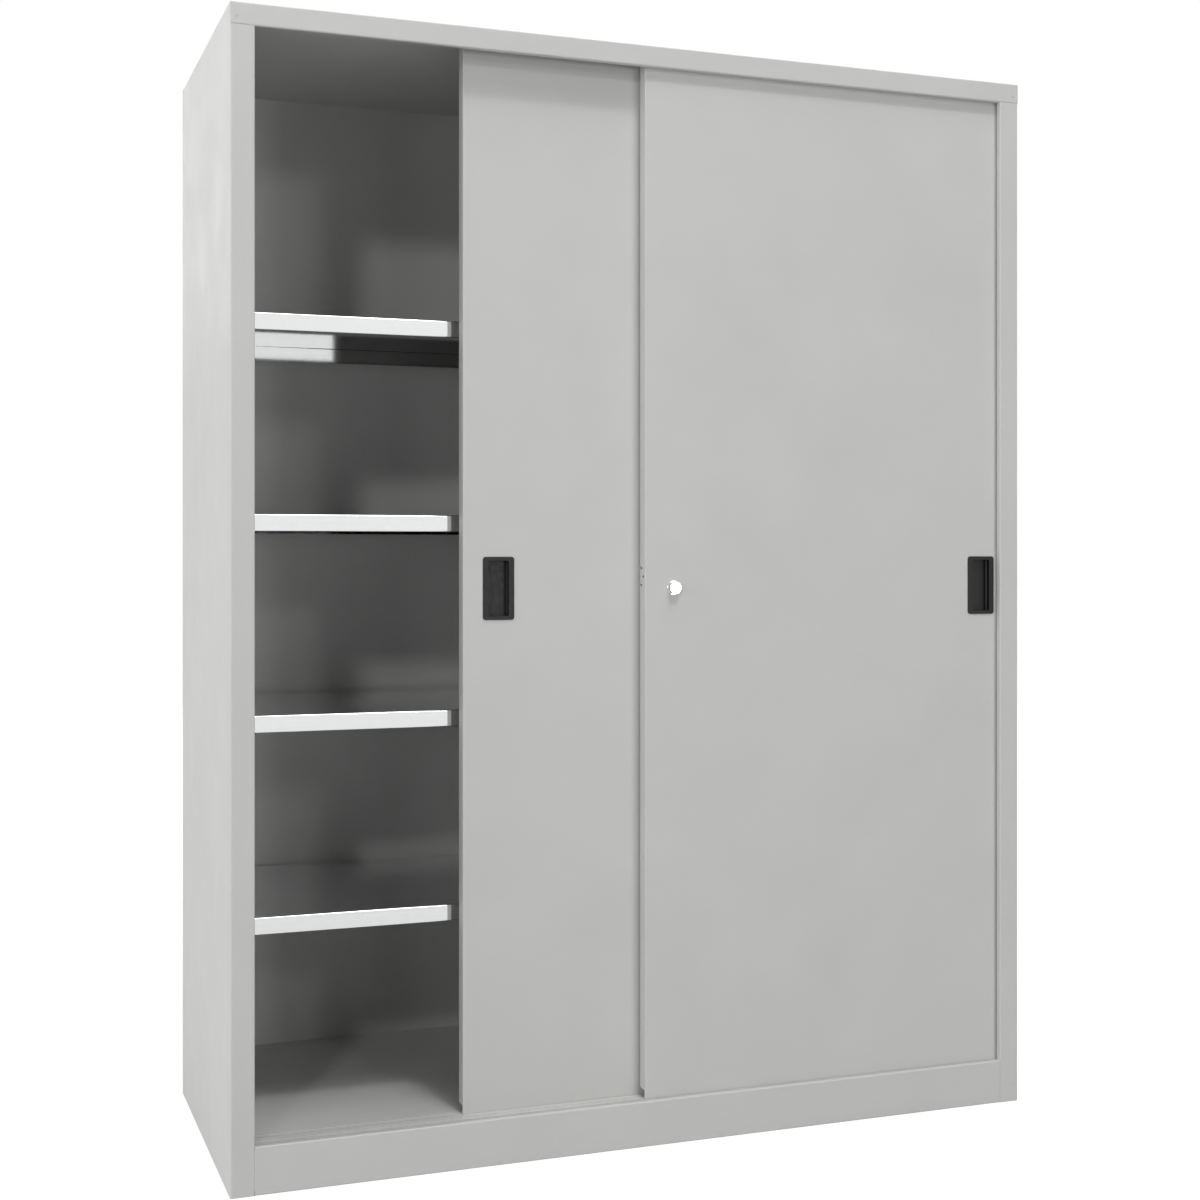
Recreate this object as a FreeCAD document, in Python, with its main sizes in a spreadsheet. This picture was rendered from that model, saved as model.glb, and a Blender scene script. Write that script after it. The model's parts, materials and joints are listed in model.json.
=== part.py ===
import FreeCAD, Part
import os
import re
import Sketcher
from FreeCAD import Placement, Rotation, Vector

# Sliding door cabinet of folded sheet steel: a carcass with four loose shelves and two doors that
# pass one in front of the other. Each door stands on two grooved rollers that run on a ridged
# bottom track, and is kept upright by guides in a channel behind the top rail. A push lock in the
# front door blocks a strike plate on the rear door.
#
# Millimetres. +Z is up, the front faces -Y, and the origin is the middle of the base.
# Carcass pieces are drawn from the front left foot of the cabinet, door pieces from the front
# left foot of their door.

SIZES = [
    # overall
    ("width", 1500),
    ("depth", 600),
    ("height", 1950),
    # carcass sheet
    ("gauge", 1),
    ("fold", 1.5),
    ("stile_width", 40),
    ("stile_return", 12),
    ("stile_hook", 10),
    ("rail_height", 36.5),
    ("rail_return", 12),
    ("rail_hook", 10),
    ("back_flange", 20),
    ("joint_tab_width", 36),
    ("joint_tab_drop", 14),
    # corner rivets of the top rail
    ("corner_rivet_in", 11),
    ("corner_rivet_down", 24.5),
    ("corner_rivet_radius", 2),
    ("corner_rivet_head", 3),
    ("corner_rivet_sink", 0.5),
    # base
    ("plinth_height", 80),
    ("plinth_return", 11),
    ("base_flange", 20),
    # bottom track
    ("deck_front", 76),
    ("track_front", 12.5),
    ("track_gauge", 1),
    ("track_fold", 0.4),
    ("ridge_rise", 4),
    ("ridge_width", 4),
    # top guide channel
    ("channel_front", 12),
    ("channel_wall", 1.5),
    ("channel_drop", 17),
    ("channel_end_gap", 0.5),
    # doors
    ("door_face", 15),
    ("door_thickness", 25),
    ("door_gap", 5),
    ("door_overlap", 32),
    ("door_end_gap", 8),
    ("door_head_gap", 20),
    ("door_sink", 0.5),
    ("door_gauge", 1),
    ("door_fold", 0.8),
    ("door_return", 14),
    ("skirt_height", 15),
    ("skirt_lap", 3),
    ("rear_door_travel", 397),
    # door stiffener
    ("rib_width", 50),
    ("rib_flange", 15),
    ("rib_depth", 15),
    ("rib_end_gap", 60),
    # recessed handles
    ("handle_inset", 36),
    ("handle_middle", 989.5),
    ("handle_width", 57),
    ("handle_height", 110),
    ("handle_corner", 5),
    ("bezel", 1.5),
    ("bezel_edge", 0.8),
    ("bezel_lap", 3.5),
    ("recess_side_rim", 10),
    ("recess_end_rim", 6.5),
    ("recess_depth", 13.5),
    ("recess_wall", 1.5),
    ("recess_corner", 3),
    ("undercut", 3.5),
    ("undercut_start", 2.5),
    ("undercut_height", 5),
    ("handle_clearance", 0.25),
    # rollers, axles and brackets
    ("roller_inset", 60),
    ("roller_radius", 12),
    ("roller_flange", 2),
    ("roller_width", 8),
    ("roller_float", 0.2),
    ("groove_clearance", 0.3),
    ("groove_slope", 0.5),
    ("hub_radius", 6),
    ("axle_radius", 3),
    ("axle_head_radius", 5),
    ("axle_head", 1.5),
    ("running_clearance", 0.05),
    ("side_clearance", 0.3),
    ("bracket_gauge", 2),
    ("bracket_fold", 1.5),
    ("bracket_length", 36),
    ("bracket_depth", 21),
    ("bracket_top", 33),
    ("bracket_foot", 2.5),
    # top guides of the doors
    ("guide_inset", 60),
    ("guide_length", 50),
    ("guide_width", 24),
    ("guide_height", 15),
    ("guide_corner", 6),
    ("guide_chamfer", 1.5),
    ("guide_foot_radius", 4),
    ("guide_barb_radius", 5),
    ("guide_barb", 3),
    # push lock
    ("lock_inset", 55),
    ("lock_middle", 989),
    ("lock_travel", 10),
    ("barrel_radius", 11),
    ("barrel_reach", 11),
    ("barrel_length", 16),
    ("barrel_edge", 0.8),
    ("barrel_flange", 0.6),
    ("barrel_flange_length", 3.6),
    ("bolt_radius", 4),
    ("bolt_clearance", 0.2),
    ("collar_radius", 13.5),
    ("collar_thickness", 3),
    ("housing_radius", 12.5),
    ("spring_room", 3),
    ("housing_end", 1.5),
    ("housing_step", 1),
    ("nut_radius", 16),
    ("nut_thickness", 4),
    ("nut_flat", 2),
    ("plug_radius", 6.5),
    ("plug_length", 13),
    ("keyway_width", 2.4),
    ("keyway_height", 9),
    ("keyway_depth", 7),
    ("spring_radius", 6),
    ("spring_wire", 0.9),
    ("spring_pitch", 3.4),
    # strike plate and its rivets
    ("strike_gauge", 1.5),
    ("strike_fold", 0.8),
    ("strike_height", 42),
    ("strike_lap", 22),
    ("strike_clearance", 0.5),
    ("rivet_radius", 1.5),
    ("rivet_head_radius", 2.8),
    ("rivet_head", 0.9),
    ("rivet_tail_radius", 2.3),
    ("rivet_upper", 1020),
    ("rivet_middle", 1008),
    ("rivet_lower", 994),
    ("rivet_outer_depth", 18),
    ("rivet_inner_depth", 9),
    # end buffers
    ("buffer_radius", 8),
    ("buffer_edge", 1),
    ("buffer_middle", 300),
    ("buffer_gap", 0.5),
    # shelves
    ("shelf_first", 434.6),
    ("shelf_pitch", 341.3),
    ("shelf_front", 95),
    ("shelf_back_gap", 15),
    ("shelf_lip", 29),
    ("shelf_return", 15),
    ("shelf_gauge", 1),
    ("shelf_fold", 1),
    ("shelf_end_gap", 1),
    # perforated uprights and shelf clips
    ("upright_width", 25),
    ("upright_depth", 8),
    ("upright_front", 118),
    ("upright_back_gap", 45),
    ("slot_width", 3.4),
    ("slot_height", 12),
    ("clip_width", 3),
    ("clip_reach", 16),
    ("clip_root", 16),
    ("clip_tip", 4),
    ("clip_seat", 8),
    ("clip_tongue", 5),
    ("clip_hook", 3),
    ("clip_hook_width", 1.8),
    ("clip_clearance", 0.2),
]
SHELF_COUNT = 4
SLOTS_PER_PITCH = 3

# Places and lengths that follow from the sizes. Depths are measured from the front plane.
SEAM = "(height - rail_height)"
CEILING = "(height - gauge)"
BACK_FACE = "(depth - 2 * gauge)"
BEND_CLEAR = "(gauge + fold)"
LEDGE = "(plinth_height - ridge_rise - track_gauge)"
DOOR_WIDTH = "((width - 2 * gauge - 2 * door_end_gap + door_overlap) / 2)"
DOOR_BASE = "(plinth_height - door_sink)"
DOOR_HEIGHT = f"(height - door_head_gap - {DOOR_BASE})"
REAR_DOOR_FACE = "(door_face + door_thickness + door_gap)"
FRONT_DOOR_LEFT = f"(width - gauge - door_end_gap - {DOOR_WIDTH})"
REAR_DOOR_LEFT = "(gauge + door_end_gap + rear_door_travel)"
DOOR_MIDDLE = "(door_thickness / 2)"
AXLE_HEIGHT = f"(plinth_height + roller_radius + roller_float - {DOOR_BASE})"
STRIKE_REACH = (f"(width - 2 * gauge - 2 * door_end_gap - 2 * {DOOR_WIDTH}"
                " + lock_inset - bolt_radius - strike_clearance)")
STRIKE_FORWARD = "(door_gap / 2 + strike_gauge / 2)"
BARREL_REAR = "(barrel_length - barrel_reach)"
HOUSING_REAR = f"({BARREL_REAR} + lock_travel + spring_room + housing_end)"
BOLT_LENGTH = f"(door_thickness + door_gap - bezel - bolt_clearance - {BARREL_REAR} - lock_travel)"
SHELF_REAR = "(depth - shelf_back_gap)"

# A pad runs towards +X, +Y or +Z, and so does a cut: the XZ plane's normal is -Y.
PAD_REVERSED = {"XY_Plane": False, "XZ_Plane": True, "YZ_Plane": False}
CUT_REVERSED = {"XY_Plane": True, "XZ_Plane": False, "YZ_Plane": True}
AXIS_ACROSS = {"XY_Plane": 2, "XZ_Plane": 1, "YZ_Plane": 0}

doc = FreeCAD.newDocument("sliding_door_cabinet")
sheet = doc.addObject("Spreadsheet::Sheet", "Sizes")
for row, (alias, size) in enumerate(SIZES, start=1):
    sheet.set(f"A{row}", alias)
    sheet.set(f"B{row}", str(size))
    sheet.setAlias(f"B{row}", alias)
doc.recompute()

nodes = []


# ---------------------------------------------------------------- helpers

def bound(text):
    """The FreeCAD expression for a text of size names and numbers."""
    return re.sub(r"[a-z][a-z_]*", lambda name: "Sizes." + name.group(), text)


def value(text):
    """The number that a text of size names comes to."""
    result = sheet.evalExpression(bound(text))
    return float(getattr(result, "Value", result))


def keep(piece):
    """Mark a finished piece as one of the cabinet's nodes."""
    nodes.append(piece)
    return piece


def new_body(name):
    body = doc.addObject("PartDesign::Body", name)
    body.Label = name
    return body


def place(piece, across, back, up, turn=None):
    """Put a piece at a place measured from the front left foot of the cabinet."""
    if turn is not None:
        piece.Placement = Placement(Vector(), turn)
    piece.setExpression("Placement.Base.x", bound(f"({across}) - width / 2"))
    piece.setExpression("Placement.Base.y", bound(f"({back}) - depth / 2"))
    piece.setExpression("Placement.Base.z", bound(up))
    doc.recompute()
    return piece


def origin_part(body, role):
    return next(part for part in body.Origin.OriginFeatures if part.Role == role)


def new_sketch(body, role, level="0"):
    """A sketch on an origin plane of the body, moved along +X, +Y or +Z by level."""
    sketch = body.newObject("Sketcher::SketchObject", body.Name + "_sketch")
    sketch.AttachmentSupport = [(origin_part(body, role), "")]
    sketch.MapMode = "FlatFace"
    sign = "-" if role == "XZ_Plane" else ""
    sketch.setExpression("AttachmentOffset.Base.z", f"{sign}({bound(level)})")
    return sketch


def dimension(sketch, kind, geometry, point, text):
    """Hold one point of a sketch at its distance from the origin."""
    if text == "0":
        axis = -2 if kind == "DistanceX" else -1
        sketch.addConstraint(Sketcher.Constraint("PointOnObject", geometry, point, axis))
        return
    rule = Sketcher.Constraint(kind, -1, 1, geometry, point, value(text))
    index = sketch.addConstraint(rule)
    sketch.setExpression(f"Constraints[{index}]", bound(text))


def draw_outline(sketch, points):
    """Draw a closed outline of straight sides through points given as (across, up) texts."""
    count = len(points)
    corners = [Vector(value(across), value(up), 0) for across, up in points]
    for here in range(count):
        sketch.addGeometry(Part.LineSegment(corners[here], corners[(here + 1) % count]), False)
    for here in range(count):
        following = (here + 1) % count
        sketch.addConstraint(Sketcher.Constraint("Coincident", here, 2, following, 1))
        if points[here][0] == points[following][0]:
            sketch.addConstraint(Sketcher.Constraint("Vertical", here))
        elif points[here][1] == points[following][1]:
            sketch.addConstraint(Sketcher.Constraint("Horizontal", here))
    for here, point in enumerate(points):
        tied = [points[here - 1]] if here else []
        if here == count - 1:
            tied.append(points[0])
        for axis, kind in enumerate(("DistanceX", "DistanceY")):
            if all(other[axis] != point[axis] for other in tied):
                dimension(sketch, kind, here, 1, point[axis])


def draw_circle(sketch, across, up, radius):
    circle = Part.Circle(Vector(value(across), value(up), 0), Vector(0, 0, 1), value(radius))
    geometry = sketch.addGeometry(circle, False)
    dimension(sketch, "DistanceX", geometry, 3, across)
    dimension(sketch, "DistanceY", geometry, 3, up)
    index = sketch.addConstraint(Sketcher.Constraint("Radius", geometry, value(radius)))
    sketch.setExpression(f"Constraints[{index}]", bound(radius))


def rectangle(left, low, right, high):
    return [(left, low), (right, low), (right, high), (left, high)]


def pad(body, role, sketch, length):
    feature = body.newObject("PartDesign::Pad", body.Name + "_pad")
    feature.Profile = sketch
    feature.Reversed = PAD_REVERSED[role]
    feature.setExpression("Length", bound(length))
    sketch.Visibility = False
    doc.recompute()
    return feature


def cut(body, role, sketch, length):
    """Cut a sketch into the body towards +X, +Y or +Z, and make sure that it cuts."""
    before = body.Shape.Volume
    feature = body.newObject("PartDesign::Pocket", body.Name + "_cut")
    feature.Profile = sketch
    feature.Reversed = CUT_REVERSED[role]
    feature.setExpression("Length", bound(length))
    sketch.Visibility = False
    doc.recompute()
    if body.Shape.Volume >= before:
        raise RuntimeError(f"a cut in {body.Label} removes nothing")
    return feature


def pad_outline(body, role, points, level, length):
    sketch = new_sketch(body, role, level)
    draw_outline(sketch, points)
    return pad(body, role, sketch, length)


def cut_outline(body, role, points, level, length):
    sketch = new_sketch(body, role, level)
    draw_outline(sketch, points)
    return cut(body, role, sketch, length)


def cut_holes(body, role, holes, level, length):
    """Cut round holes, each given as (across, up, radius)."""
    sketch = new_sketch(body, role, level)
    for across, up, radius in holes:
        draw_circle(sketch, across, up, radius)
    return cut(body, role, sketch, length)


def edges_along(shape, axis, places):
    """Names of the straight edges along one axis that pass through places on the plane across."""
    others = [other for other in range(3) if other != axis]
    names = []
    for number, edge in enumerate(shape.Edges, start=1):
        start, end = edge.Vertexes[0].Point, edge.Vertexes[-1].Point
        spans = [abs(end[other] - start[other]) for other in others]
        if not isinstance(edge.Curve, Part.Line) or max(spans) > 1e-5:
            continue
        for place_across, place_up in places:
            misses = (start[others[0]] - place_across, start[others[1]] - place_up)
            if max(abs(miss) for miss in misses) < 1e-4:
                names.append(f"Edge{number}")
    return names


def round_edges(body, role, places, radius):
    """Round the edges that a pad in this plane draws out at the given (across, up) corners."""
    base = body.Tip
    spots = [(value(across), value(up)) for across, up in places]
    names = edges_along(base.Shape, AXIS_ACROSS[role], spots)
    feature = body.newObject("PartDesign::Fillet", body.Name + "_round")
    feature.Base = (base, names)
    feature.setExpression("Radius", bound(radius))
    doc.recompute()
    return feature


def ease_rim(body, axis, level, size, kind="Fillet"):
    """Round or chamfer every edge that lies in the plane at this level of one axis."""
    base = body.Tip
    height = value(level)
    names = []
    for number, edge in enumerate(base.Shape.Edges, start=1):
        box = edge.BoundBox
        low = (box.XMin, box.YMin, box.ZMin)[axis]
        high = (box.XMax, box.YMax, box.ZMax)[axis]
        if abs(low - height) < 1e-4 and abs(high - height) < 1e-4:
            names.append(f"Edge{number}")
    feature = body.newObject(f"PartDesign::{kind}", body.Name + "_rim")
    feature.Base = (base, names)
    feature.setExpression("Radius" if kind == "Fillet" else "Size", bound(size))
    doc.recompute()
    return feature


def folded(body, role, path, gauge, inside, level, length):
    """Fold a strip of sheet: the path is its right-hand face, and the sheet lies to its left."""
    spots = [Vector(value(across), value(up), 0) for across, up in path]
    lefts = []
    for start, end in zip(spots, spots[1:]):
        run = (end - start).normalize()
        lefts.append((round(-run.y), round(run.x)))
    far_side, outer, inner = [], [], []
    for here, point in enumerate(path):
        near = {lefts[max(here - 1, 0)], lefts[min(here, len(lefts) - 1)]}
        shift = [sum(left[axis] for left in near) for axis in (0, 1)]
        far = tuple(point[axis] + (f" + {gauge}", "", f" - {gauge}")[1 - shift[axis]]
                    for axis in (0, 1))
        far_side.append(far)
        if 0 < here < len(path) - 1:
            before, after = lefts[here - 1], lefts[here]
            turns_left = before[0] * after[1] - before[1] * after[0] > 0
            outer.append(point if turns_left else far)
            inner.append(far if turns_left else point)
    pad_outline(body, role, path + far_side[::-1], level, length)
    round_edges(body, role, outer, f"{inside} + {gauge}")
    round_edges(body, role, inner, inside)


def turned(body, points):
    """Turn a solid about the body's Z axis from a profile of (radius, along) texts."""
    sketch = new_sketch(body, "XZ_Plane")
    draw_outline(sketch, points)
    feature = body.newObject("PartDesign::Revolution", body.Name + "_turn")
    feature.Profile = sketch
    feature.ReferenceAxis = (sketch, ["V_Axis"])
    feature.Angle = 360
    sketch.Visibility = False
    doc.recompute()
    return feature


def mirrored(piece, name):
    """The right-hand twin of a piece, about the middle plane of the cabinet."""
    twin = doc.addObject("Part::Mirroring", name)
    twin.Label = name
    twin.Source = piece
    twin.Normal = Vector(1, 0, 0)
    doc.recompute()
    return twin


def grouped(name, pieces):
    """One node of several like pieces."""
    group = doc.addObject("Part::Compound", name)
    group.Label = name
    group.Links = pieces
    doc.recompute()
    return group


ALONG_DEPTH = Rotation(Vector(1, 0, 0), -90)
ALONG_WIDTH = Rotation(Vector(0, 1, 0), 90)


# ---------------------------------------------------------------- carcass

def build_side():
    """Side sheet with a back flange and, in front, the stile with its return and hook."""
    body = new_body("side_left")
    hook_end = "stile_width - stile_hook"
    folded(body, "XY_Plane",
           [("back_flange", "depth"), ("0", "depth"), ("0", "0"), ("stile_width", "0"),
            ("stile_width", "stile_return"), (hook_end, "stile_return")],
           "gauge", "fold", "0", "height")
    cut_outline(body, "XY_Plane",
                [("0", "0"), ("stile_width", "0"), ("stile_width", "stile_return"),
                 ("gauge", "stile_return"), ("gauge", "gauge"), ("0", "gauge")],
                SEAM, "rail_height")
    tab_foot = f"{SEAM} - joint_tab_drop"
    pad_outline(body, "XZ_Plane",
                rectangle("gauge", tab_foot, "joint_tab_width", f"height - {BEND_CLEAR}"),
                "gauge", "gauge")
    cut_holes(body, "XZ_Plane",
              [("corner_rivet_in", "height - corner_rivet_down",
                "corner_rivet_radius + running_clearance")], "0", "stile_return")
    keep(place(body, "0", "0", "0"))
    keep(mirrored(body, "side_right"))


def build_top():
    """Top sheet with a back flange and, in front, the rail that laps over both stiles."""
    body = new_body("top_panel")
    hook_top = f"{SEAM} + rail_hook"
    folded(body, "YZ_Plane",
           [("depth", "height - back_flange"), ("depth", "height"), ("0", "height"),
            ("0", SEAM), ("rail_return", SEAM), ("rail_return", hook_top)],
           "gauge", "fold", "0", "width")
    for left, right in (("0", "stile_width"), ("width - stile_width", "width")):
        cut_outline(body, "XZ_Plane", rectangle(left, SEAM, right, hook_top),
                    "gauge", "rail_return")
    for left, right in (("0", "gauge"), ("width - gauge", "width")):
        cut_outline(body, "XZ_Plane", rectangle(left, SEAM, right, "height"), "gauge", "depth")
    for left, right in (("0", "back_flange"), ("width - back_flange", "width")):
        cut_outline(body, "XZ_Plane", rectangle(left, SEAM, right, "height"),
                    "depth - gauge", "gauge")
    for left, right in (("gauge", BEND_CLEAR), (f"width - {BEND_CLEAR}", "width - gauge")):
        cut_outline(body, "XZ_Plane", rectangle(left, SEAM, right, "height"),
                    f"depth - {BEND_CLEAR}", "fold")
    rivets_across = ("corner_rivet_in", "width - corner_rivet_in")
    rivet_up = "height - corner_rivet_down"
    for radius, length in (("corner_rivet_radius", "gauge"),
                           ("corner_rivet_head", "corner_rivet_sink")):
        holes = [(across, rivet_up, f"{radius} + running_clearance") for across in rivets_across]
        cut_holes(body, "XZ_Plane", holes, "0", length)
    keep(place(body, "0", "0", "0"))


def build_corner_rivets():
    """Flush rivets that hold the rail to the tabs of the two sides."""
    pieces = []
    for hand, across in (("left", "corner_rivet_in"), ("right", "width - corner_rivet_in")):
        body = new_body(f"corner_rivet_{hand}")
        turned(body, [("0", "0"), ("corner_rivet_head", "0"),
                      ("corner_rivet_head", "corner_rivet_sink"),
                      ("corner_rivet_radius", "corner_rivet_sink"),
                      ("corner_rivet_radius", "2 * gauge"), ("corner_rivet_head", "2 * gauge"),
                      ("corner_rivet_head", "3 * gauge"), ("0", "3 * gauge")])
        pieces.append(place(body, across, "0", "height - corner_rivet_down", ALONG_DEPTH))
    keep(grouped("corner_rivets", pieces))


def build_back():
    """Flat back sheet, clear of the bends of the flanges that it lies against."""
    body = new_body("back_panel")
    foot = "plinth_height - gauge"
    pad_outline(body, "XZ_Plane",
                rectangle(BEND_CLEAR, foot, f"width - {BEND_CLEAR}", f"height - {BEND_CLEAR}"),
                BACK_FACE, "gauge")
    keep(place(body, "0", "0", "0"))


def build_bottom():
    """Floor sheet, stepped down in front to the ledge that carries the bottom track."""
    body = new_body("bottom_panel")
    folded(body, "YZ_Plane",
           [(BACK_FACE, "plinth_height"), ("deck_front", "plinth_height"),
            ("deck_front", LEDGE), ("gauge", LEDGE)],
           "gauge", "fold", "gauge", "width - 2 * gauge")
    for left, right in (("gauge", "stile_width"), ("width - stile_width", "width - gauge")):
        cut_outline(body, "XY_Plane", rectangle(left, "gauge", right, "stile_return"),
                    "0", "plinth_height")
    for left, right in (("gauge", BEND_CLEAR), (f"width - {BEND_CLEAR}", "width - gauge")):
        cut_outline(body, "XY_Plane", rectangle(left, f"depth - {BEND_CLEAR}", right, BACK_FACE),
                    "0", "plinth_height")
    keep(place(body, "0", "0", "0"))


def build_plinths():
    """Front plinth between the stiles, and rear plinth under the back panel."""
    front = new_body("plinth_front")
    folded(front, "YZ_Plane",
           [("plinth_return", LEDGE), ("plinth_return", "plinth_height"),
            ("0", "plinth_height"), ("0", "0"), ("base_flange", "0")],
           "gauge", "fold", "stile_width", "width - 2 * stile_width")
    keep(place(front, "0", "0", "0"))
    rear = new_body("plinth_rear")
    outside = "depth - gauge"
    flange = "depth - gauge - base_flange"
    folded(rear, "YZ_Plane",
           [(flange, "0"), (outside, "0"), (outside, "plinth_height - gauge"),
            (flange, "plinth_height - gauge")],
           "gauge", "fold", BEND_CLEAR, f"width - 2 * {BEND_CLEAR}")
    keep(place(rear, "0", "0", "0"))


def build_bottom_track():
    """Track strip with one folded ridge under the middle of each door."""
    body = new_body("track_bottom")
    flat = "plinth_height - ridge_rise"
    path = [("deck_front - fold", flat)]
    for face in (REAR_DOOR_FACE, "door_face"):
        rear_side = f"{face} + {DOOR_MIDDLE} + ridge_width / 2"
        front_side = f"{face} + {DOOR_MIDDLE} - ridge_width / 2"
        path += [(rear_side, flat), (rear_side, "plinth_height"),
                 (front_side, "plinth_height"), (front_side, flat)]
    path.append(("track_front", flat))
    folded(body, "YZ_Plane", path, "track_gauge", "track_fold", "gauge", "width - 2 * gauge")
    keep(place(body, "0", "0", "0"))


def build_top_track():
    """Extruded channel with three legs: one lane for the guides of each door."""
    body = new_body("track_top")
    foot = f"{CEILING} - channel_drop"
    web = f"{CEILING} - channel_wall"
    middle = "door_face + door_thickness + door_gap / 2"
    back = f"{REAR_DOOR_FACE} + door_thickness + door_face - channel_front"
    middle_front = f"{middle} - channel_wall / 2"
    middle_back = f"{middle} + channel_wall / 2"
    pad_outline(body, "YZ_Plane",
                [("channel_front", foot), ("channel_front + channel_wall", foot),
                 ("channel_front + channel_wall", web), (middle_front, web),
                 (middle_front, foot), (middle_back, foot), (middle_back, web),
                 (f"{back} - channel_wall", web), (f"{back} - channel_wall", foot),
                 (back, foot), (back, CEILING), ("channel_front", CEILING)],
                "gauge + channel_end_gap", "width - 2 * (gauge + channel_end_gap)")
    keep(place(body, "0", "0", "0"))


# ---------------------------------------------------------------- shelves

def shelf_top(number):
    return f"(shelf_first + {number - 1} * shelf_pitch)"


def upright_back_edge(row):
    return {"front": "(upright_front + upright_width)",
            "rear": "(depth - upright_back_gap)"}[row]


def build_uprights():
    """Perforated channels on the side sheets: the shelf clips hook into their slots."""
    for row in ("front", "rear"):
        body = new_body(f"upright_{row}_left")
        back = upright_back_edge(row)
        front = f"{back} - upright_width"
        inner = "gauge + upright_depth"
        folded(body, "XY_Plane",
               [("gauge", front), (inner, front), (inner, back), ("gauge", back)],
               "gauge", "fold", "plinth_height", f"{CEILING} - plinth_height")
        slot_left = f"{back} - upright_width / 2 - slot_width / 2"
        slot_right = f"{back} - upright_width / 2 + slot_width / 2"
        seat = f"{shelf_top(1)} - shelf_gauge - clip_seat"
        first = cut_outline(body, "YZ_Plane",
                            rectangle(slot_left, seat, slot_right, f"{seat} + slot_height"),
                            "gauge", "upright_depth")
        slots = body.newObject("PartDesign::LinearPattern", body.Name + "_slots")
        slots.Originals = [first]
        slots.Direction = (origin_part(body, "Z_Axis"), [""])
        slots.Occurrences = (SHELF_COUNT - 1) * SLOTS_PER_PITCH + 1
        slots.setExpression("Length", bound(f"{SHELF_COUNT - 1} * shelf_pitch"))
        body.Tip = slots
        doc.recompute()
        keep(place(body, "0", "0", "0"))
        keep(mirrored(body, f"upright_{row}_right"))


def build_shelves():
    """Folded pans with a front lip and return and a rear lip."""
    for number in range(1, SHELF_COUNT + 1):
        body = new_body(f"shelf_{number}")
        top = shelf_top(number)
        low = f"{top} - shelf_lip"
        end = "(gauge + upright_depth + shelf_end_gap)"
        folded(body, "YZ_Plane",
               [(SHELF_REAR, low), (SHELF_REAR, top), ("shelf_front", top),
                ("shelf_front", low), ("shelf_front + shelf_return", low)],
               "shelf_gauge", "shelf_fold", end, f"width - 2 * {end}")
        keep(place(body, "0", "0", "0"))


def build_clips():
    """Four hook clips under each shelf, one in each upright."""
    web = "(gauge + upright_depth)"
    hook_face = f"{web} - gauge - clip_clearance"
    hook_back = f"{hook_face} - clip_hook_width"
    for number in range(1, SHELF_COUNT + 1):
        seat = f"({shelf_top(number)} - shelf_gauge)"
        tongue_low = f"{seat} - clip_seat"
        tongue_high = f"{seat} - clip_seat + clip_tongue"
        hook_low = f"{seat} - clip_seat - clip_hook"
        pieces = []
        for row in ("front", "rear"):
            body = new_body(f"clip_{number}_{row}_left")
            pad_outline(body, "XZ_Plane",
                        [(web, seat), (web, tongue_high), (hook_back, tongue_high),
                         (hook_back, hook_low), (hook_face, hook_low), (hook_face, tongue_low),
                         (web, tongue_low), (web, f"{seat} - clip_root"),
                         (f"{web} + clip_tip", f"{seat} - clip_root"),
                         (f"{web} + clip_reach", f"{seat} - clip_tip"),
                         (f"{web} + clip_reach", seat)],
                        f"{upright_back_edge(row)} - upright_width / 2 - clip_width / 2",
                        "clip_width")
            place(body, "0", "0", "0")
            pieces += [body, mirrored(body, f"clip_{number}_{row}_right")]
        keep(grouped(f"shelf_clips_{number}", pieces))


# ---------------------------------------------------------------- doors

# Each door: its left edge, its face, the side of its handle, and the flange with rivet holes.
DOORS = {
    "front": (FRONT_DOOR_LEFT, "door_face", "right", "left"),
    "rear": (REAR_DOOR_LEFT, REAR_DOOR_FACE, "left", "right"),
}


def door_place(door, across, back, up):
    """A place on a door, from the front left foot of the cabinet."""
    left, face, _, _ = DOORS[door]
    return f"{left} + {across}", f"{face} + {back}", f"{DOOR_BASE} + {up}"


def handle_left(door):
    if DOORS[door][2] == "left":
        return "handle_inset"
    return f"({DOOR_WIDTH} - handle_inset - handle_width)"


def rivet_spots():
    """The three rivets of the strike plate as (depth behind the door face, height)."""
    return [("rivet_outer_depth", "rivet_upper"), ("rivet_inner_depth", "rivet_middle"),
            ("rivet_outer_depth", "rivet_lower")]


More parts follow.
